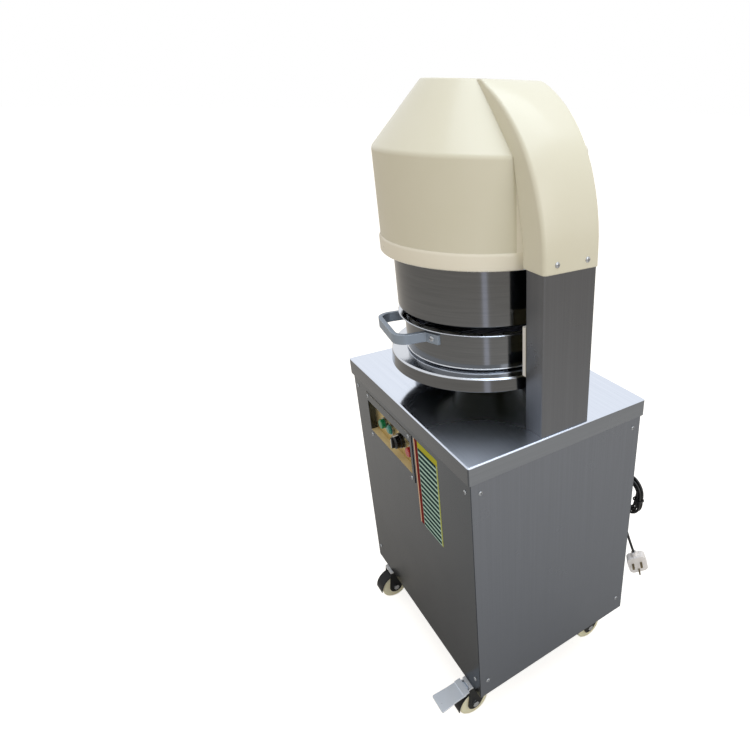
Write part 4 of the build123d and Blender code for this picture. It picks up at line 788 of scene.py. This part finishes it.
# Near-black olive: partly the pedestal's paint, partly painted shade under the table.
pedestal_paint_and_shade = coated(
    "dark_cast_iron", "#24251b", "#2c2d21", "#45463a", 0.35, 0.004, 0.0001, 0.002, low_shine
)
# A near-black coat for the table's underside, painted shade.
underside_painted_shade = coated(
    "table_underside_painted_shade", "#060705", "#0b0c09", "#1c1d18", 0.4, 0.004, 0.0001, 0.002, least_shine
)
# A bluish tint for the pan's inside, a painted reflection.
pan_inside_painted_reflection = worked_metal(
    "pan_inside_bluish_painted_reflection", "#8d909d", "#9ea1ae", (0.003, 0.5, 0.003), 0.2, 0.0008, round_axis=True
)
dress(polished, "drum", "pan_table", "pan")
dress(pedestal_paint_and_shade, "table_pedestal")
# The table's downward faces take the painted shade.
dress_faces("pan_table", underside_painted_shade, lambda centre, normal: normal.z < -mainly)
pan_low, pan_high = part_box("pan")
rim_height = 0.006
rim_under = pan_high.z - rim_height
# The pan's inner floor and walls take the bluish painted reflection.
dress_faces(
    "pan",
    pan_inside_painted_reflection,
    lambda centre, normal: centre.z < rim_under and (normal.z > mainly or normal.xy.dot(centre.xy) < 0),
)


def turned(name, profile, turns):
    """A closed ring of mesh about the Z axis, turned from a profile of radius and height."""
    count = len(profile)
    points, faces = [], []
    for k in range(turns):
        angle = 2 * pi * k / turns
        points += [(radius * cos(angle), radius * sin(angle), height) for radius, height in profile]
        near, far = k * count, (k + 1) % turns * count
        for j in range(count):
            faces.append((near + j, far + j, far + (j + 1) % count, near + (j + 1) % count))
    return closed_mesh(name, points, faces)


# A bead round the pan's foot, its pale colour a painted highlight along the lower edge.
pan_bead_painted_highlight = worked_metal(
    "pan_bead_pale_painted_highlight", "#d2d5da", "#e4e6ea", (0.003, 0.5, 0.003), 0.22, 0.0004, round_axis=True, depth=0.00002
)
bead_rise, bead_radius, bead_sides, bead_turns = 0.0052, 0.0016, 12, 120
bead_place = Vector((0.1762, pan_low.z + bead_rise))
bead_profile = []
for k in range(bead_sides):
    turn = k * pi / (bead_sides / 2)
    bead_profile.append((bead_place.x + bead_radius * cos(turn), bead_place.y + bead_radius * sin(turn)))
bead = turned("pan_bead", bead_profile, bead_turns)
bead.materials.append(pan_bead_painted_highlight)
bead.shade_smooth()
set_on("pan_bead", bead, "pan")

# Pan guard: a stainless sheet bent round the back of the pan, its cheeks riveted to the posts.
# A white edge trim is pressed over each front edge.
edge_trim = coated("white_edge_trim", "#e6e6e2", "#f0f0ec", "#d6d6d0", 0.35, 0.002, 0.00003, 0.0006)
guard_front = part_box("pan_guard")[0].y
trim_depth = 0.0102
# The guard's olive-gold tone in place of stainless is a painted reflection.
guard_painted_reflection = coated(
    "dull_guard_sheet", "#a39a76", "#b3aa86", "#c2ba98", 0.38, 0.004, 0.00004, 0.001, {"Metallic": 0.1}
)
dress(guard_painted_reflection, "pan_guard")
dress_faces("pan_guard", edge_trim, lambda centre, normal: centre.y < guard_front + trim_depth)

# Pan handle: a cast aluminium strap bolted to the pan by its two feet.
# The casting is blasted, which leaves a blue-grey skin with a fine grain.
# Its rounded edges turn pale blue-grey, a painted highlight.
handle_skin = coated(
    "blasted_aluminium", "#8a97a8", "#98a5b4", "#c9d4de", 0.4, 0.0012, 0.00008, 0.0025, {"Metallic": 0.45}
)
dress(handle_skin, "pan_handle")
pan_turn = radians(-98)
foot_face, bolt_offset = 0.1810, 0.088
bolt_spread = asin(bolt_offset / foot_face)
bolt_head = 0.0066, 0.003, 0.0016
handle_low, handle_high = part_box("pan_handle")
bolt_height = (handle_low.z + handle_high.z) / 2
bolt_spots = []
for turn in (pan_turn - bolt_spread, pan_turn + bolt_spread):
    outward = Vector((cos(turn), sin(turn), 0))
    bolt_spots.append((outward * foot_face + Vector((0, 0, bolt_height)), outward))
heads("handle_bolt_heads", bolt_spots, *bolt_head, zinc, "pan", "zinc_plate", ["handle_bolts"])

# Hood: one shell of glass fibre with a cream gelcoat, laid up in a mould and screwed over posts and head.
# A round body, a cylinder under a cone, is straddled by a bridge whose legs stand a little off the cylinder.
# The gelcoat is glossy with a slight orange peel and paler on its edges. In those gaps and on the band at its
# foot it is paler still, painted light for the light that falls there.
waxed = {"Coat Weight": 0.25, "Coat Roughness": 0.18}
gelcoat = coated("cream_gelcoat", "#e1dfca", "#e5e3d1", "#f0efe2", 0.34, 0.006, 0.00006, 0.003, waxed)
# Paler copies of the gelcoat for the gaps by the legs and for the band, painted light.
gap_painted_light_gelcoat = coated("cream_gelcoat_gap_painted_light", "#fbf9ec", "#fdfbf0", "#fffef6", 0.4, 0.006, 0.00006, 0.002)
band_painted_light_gelcoat = coated(
    "cream_gelcoat_band_painted_light", "#f3f0df", "#f6f3e5", "#faf8ec", 0.3, 0.006, 0.00006, 0.002, {"Coat Weight": 0.25}
)
hood_low, hood_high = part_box("hood")
hood_wall = 0.003
body_radius, body_turns, cone_tilt, bend_steps = 0.208, 160, 40.7, 6
# Each bend is given by its middle, across and up, its radius, and the degrees where it starts and ends.
body_bends = ((0.194, 1.2498, 0.014, 0, cone_tilt), (0.1053, 1.362, 0.008, cone_tilt, 90))


def round_body(inset, floor):
    """The round body, with a soft shoulder and crown, drawn in by inset."""
    profile = [(body_radius - inset, floor)]
    for across, up, radius, start, end in body_bends:
        for step in range(bend_steps + 1):
            turn = radians(start + (end - start) * step / bend_steps)
            profile.append((across + (radius - inset) * cos(turn), up + (radius - inset) * sin(turn)))
    turns = [2 * pi * k / body_turns for k in range(body_turns)]
    rings = []
    for radius, height in profile:
        rings.append([(radius * cos(turn), radius * sin(turn), height) for turn in turns])
    return skin("round_body", rings)


leg_foot = hood_low.z + 0.011
leg_inside = ((0.2287, 1.105), (0.2135, 1.189), (0.2, 1.254))
leg_root = (0.165, 1.258)
bridge_depth, bridge_crown = 0.0623, 0.022
# These bends also have the number of their steps.
bridge_bends = (
    (-0.0509, 1.1, 0.3402, 0, 22.1, 5),
    (0.0352, 1.135, 0.2473, 22.1, 69.15, 12),
    (0.1018, 1.30996, 0.06, 69.15, 90.1, 4),
)
bridge_top = (0.1018, 1.36996)
foot_rounding, top_rounding, inner_rounding, least_rounding = 0.008, 0.003, 0.002, 0.0005
rounding_steps, flat_steps = 6, 4


def bridge(inset, floor):
    """The bridge, an arch that falls off a little towards its front, drawn in by inset."""
    edge = [(Vector((hood_high.x, floor)), Vector((1, 0)), foot_rounding)]
    for across, up, radius, start, end, steps in bridge_bends:
        for step in range(steps):
            turn = radians(start + (end - start) * step / steps)
            way = Vector((cos(turn), sin(turn)))
            rounding = foot_rounding - (foot_rounding - top_rounding) * turn / radians(90)
            edge.append((Vector((across, up)) + radius * way, way, rounding))
    edge.append((Vector(bridge_top), Vector((0, 1)), top_rounding))
    mirror = Vector((-1, 1))
    edge += [(place * mirror, way * mirror, rounding) for place, way, rounding in edge[::-1]]
    leg = [(leg_inside[0][0] + inset, floor), *[(across + inset, up) for across, up in leg_inside], leg_root]
    inside = [(-across, up) for across, up in leg] + leg[::-1]
    steps = range(rounding_steps + flat_steps + 1)
    rings = []
    for side in (-1, 1):
        for step in steps[::-side]:
            turn = min(step, rounding_steps) * pi / (2 * rounding_steps)
            flat = max(step - rounding_steps, 0) / (flat_steps + 0.5)
            ring = []
            for place, way, rounding in edge:
                radius = max(rounding - 2 * inset, least_rounding)
                deep = (bridge_depth - inset - radius * (1 - cos(turn))) * (1 - flat)
                drop = bridge_crown * abs(way.x) * way.y * (deep / bridge_depth) ** 2 if side < 0 else 0
                drawn = place - (inset + drop + radius * (1 - sin(turn))) * way
                ring.append((drawn.x, side * deep, drawn.y))
            deep = (bridge_depth - inset - inner_rounding * (1 - cos(turn))) * (1 - flat)
            rings.append(ring + [(across, side * deep, up) for across, up in inside])
    return skin("bridge", rings)


def block(side, left, right, depth, low, high):
    """A block on one side of the hood, as deep to the front as to the rear."""
    edge = ((left, low), (right, low), (right, high), (left, high))
    return skin("block", [[(side * across, deep, up) for across, up in edge] for deep in (-depth, depth)])


# A hollow neck joins each leg to the round body, and lets the head plate's arm through.
# It is given by its left, right, depth, foot and head.
neck_outside = 0.19, 0.2312, 0.042, leg_foot + 0.0001, 1.27
neck_inside = 0.185, 0.2345, 0.039, hood_low.z - 0.012, 1.262
body_floor, bridge_floor = hood_low.z - 0.01, hood_low.z - 0.011
band = [(0.2052, 0), (0.209, 0), (0.211, 0.002), (0.211, 0.026), (0.2083, 0.0317), (0.2052, 0.0317)]
band_ring = [(radius, hood_low.z + height) for radius, height in band]
shell = bpy.data.objects.new("hood_shell", round_body(0, hood_low.z))
scene.collection.objects.link(shell)
work(shell, bridge(0, leg_foot), "UNION")
for side in (-1, 1):
    work(shell, block(side, *neck_outside), "UNION")
work(shell, round_body(hood_wall, body_floor), "DIFFERENCE")
work(shell, bridge(hood_wall, bridge_floor), "DIFFERENCE")
for side in (-1, 1):
    work(shell, block(side, *neck_inside), "DIFFERENCE")
work(shell, turned("hood_band", band_ring, body_turns), "UNION")

band_start, band_end, band_top = 0.2083, 0.2112, hood_low.z + 0.032
gap_start, gap_end, gap_half, gap_reach, gap_top = 0.2, 0.2295, 0.0618, 0.2075, 1.255
shell.data.materials.clear()
for material in (gelcoat, band_painted_light_gelcoat, gap_painted_light_gelcoat):
    shell.data.materials.append(material)
# The band and the faces in the gaps take the paler copies, painted light.
for face in shell.data.polygons:
    place, reach, across = face.center, face.center.xy.length, abs(face.center.x)
    if band_start < reach < band_end and place.z < band_top:
        face.material_index = 1
    elif gap_start < across < gap_end and abs(place.y) < gap_half and reach > gap_reach and place.z < gap_top:
        face.material_index = 2
crease = radians(35)
shell.data.shade_smooth()
shell.data.set_sharp_from_angle(angle=crease)
even = shell.modifiers.new("even", "WEIGHTED_NORMAL")
even.weight, even.keep_sharp = 100, True
settle(shell)
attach(shell, "cabinet")
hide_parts("hood")

# Hood screws: two dome heads with a cross recess through each leg of the hood into its post.
# They are turned from bright steel and polished.
dome_steel = worked_metal("polished_dome_screw", "#9fa1a4", "#c4c6c8", (0.002, 0.002, 0.002), 0.1, 0.0005)
dome_head, dome_half = (0.0055, 0.0026, 0.0013), 0.005
screw_low, screw_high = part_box("hood_screws")
screw_height = (screw_low.z + screw_high.z) / 2
screw_reach = screw_high.y - dome_half
hood_spots = []
for way in (-1, 1):
    for along in (-screw_reach, screw_reach):
        hood_spots.append((Vector((way * hood_high.x, along, screw_height)), way * side_way))
heads("hood_screw_heads", hood_spots, *dome_head, dome_steel, "cabinet", "zinc_plate", ["hood_screws"])

# Power cord: a black mains lead that leaves the rear panel by a gland, held in a hank by a tie.
# Its jacket is soft black PVC with a low gloss, and a white three-pin plug hangs from its end.
cord_diameter = 0.007
hank_centre = Vector((0.218, 0.2852, 0.414))
hank_outer, hank_turn, hank_layer, hank_run = 0.0418, 0.0042, 0.008, 0.026
hank_runs = 5
arc_steps = 6
gland_nose = Vector((0.1762, 0.245, 0.491))
lead_run = 0.017
plug_entry = Vector((0.2621, 0.2761, 0.2548))
tail_above = Vector((0.2536, 0.2654, 0.2924))

route = [
    gland_nose,
    gland_nose + Vector((0, lead_run, 0)),
    gland_nose + Vector((0, lead_run * (1 + cos(pi / 6)), -lead_run * sin(pi / 6))),
    Vector((gland_nose.x, hank_centre.y, gland_nose.z - lead_run * (sin(pi / 6) + sin(pi / 3)))),
]
run_count = 2 * hank_runs + 1
offsets = [hank_outer - hank_turn * min(k, run_count - 1 - k) for k in range(run_count)]
for k, offset in enumerate(offsets):
    down = 1 if k % 2 == 0 else -1
    layer = 0 if k < hank_runs else hank_layer if k > hank_runs else hank_layer / 2
    route.append(hank_centre + Vector((-down * offset, layer, 0)))
    if k < run_count - 1:
        radius = (offset + offsets[k + 1]) / 2
        middle = hank_centre + Vector((down * (offsets[k + 1] - offset) / 2, 0, -down * hank_run / 2))
        depth = 0 if k < hank_runs else hank_layer
        reach = radius / cos(pi / 2 / arc_steps)
        for step in range(arc_steps):
            angle = pi * (step + 0.5) / arc_steps
            swing = Vector((-down * reach * cos(angle), depth, -down * reach * sin(angle)))
            route.append(middle + swing)
tail_start = hank_centre + Vector((-hank_outer, hank_layer, -hank_run / 2))
route += [
    tail_start + Vector((0, 0, -0.025)),
    tail_start + Vector((0.013, -0.004, -0.056)),
    tail_start + Vector((0.041, -0.013, -0.085)),
    tail_above,
    plug_entry,
]
cord_curve = bpy.data.curves.new("power_cord", "CURVE")
cord_curve.dimensions = "3D"
cord_curve.bevel_depth = cord_diameter / 2
cord_curve.bevel_resolution = 3
cord_curve.resolution_u = 6
cord_curve.use_fill_caps = True
line = cord_curve.splines.new("NURBS")
line.points.add(len(route) - 1)
for point, place in zip(line.points, route):
    point.co = (*place, 1)
line.order_u = 3
line.use_endpoint_u = True
power_cord = bpy.data.objects.new("power_cord", cord_curve)
scene.collection.objects.link(power_cord)
jacket = coated("black_pvc_jacket", "#0e0e0f", "#151516", "#2a2a2a", 0.3, 0.002, 0.00004, 0.0005)
gland_black = coated("gland_polyamide", "#161617", "#1e1e20", "#3a3a3a", 0.45, 0.0015, 0.00005, 0.001)
plug_white = coated("white_urea_plug", "#f4f4f6", "#f9f9fb", "#fdfdfd", 0.32, 0.002, 0.00003, 0.001)
plug_brass = worked_metal("nickel_brass_pin", "#6e6450", "#857a62", (0.001, 0.001, 0.01), 0.3, 0.0004)
cord_curve.materials.append(jacket)
dress(gland_black, "cable_gland", "cord_tie")
dress(plug_white, "plug")
plug_centre = Vector((0.270, 0.286, 0.220))
plug_turn = radians(51.5)
plug_facing = Vector((sin(plug_turn), -cos(plug_turn), 0))
plug_face = 0.0121
dress_faces(
    "plug", plug_brass, lambda centre, normal: (centre - plug_centre).dot(plug_facing) > plug_face
)
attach(power_cord, "cabinet")
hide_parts("cord_lead", "cord_hank", "cord_tail")
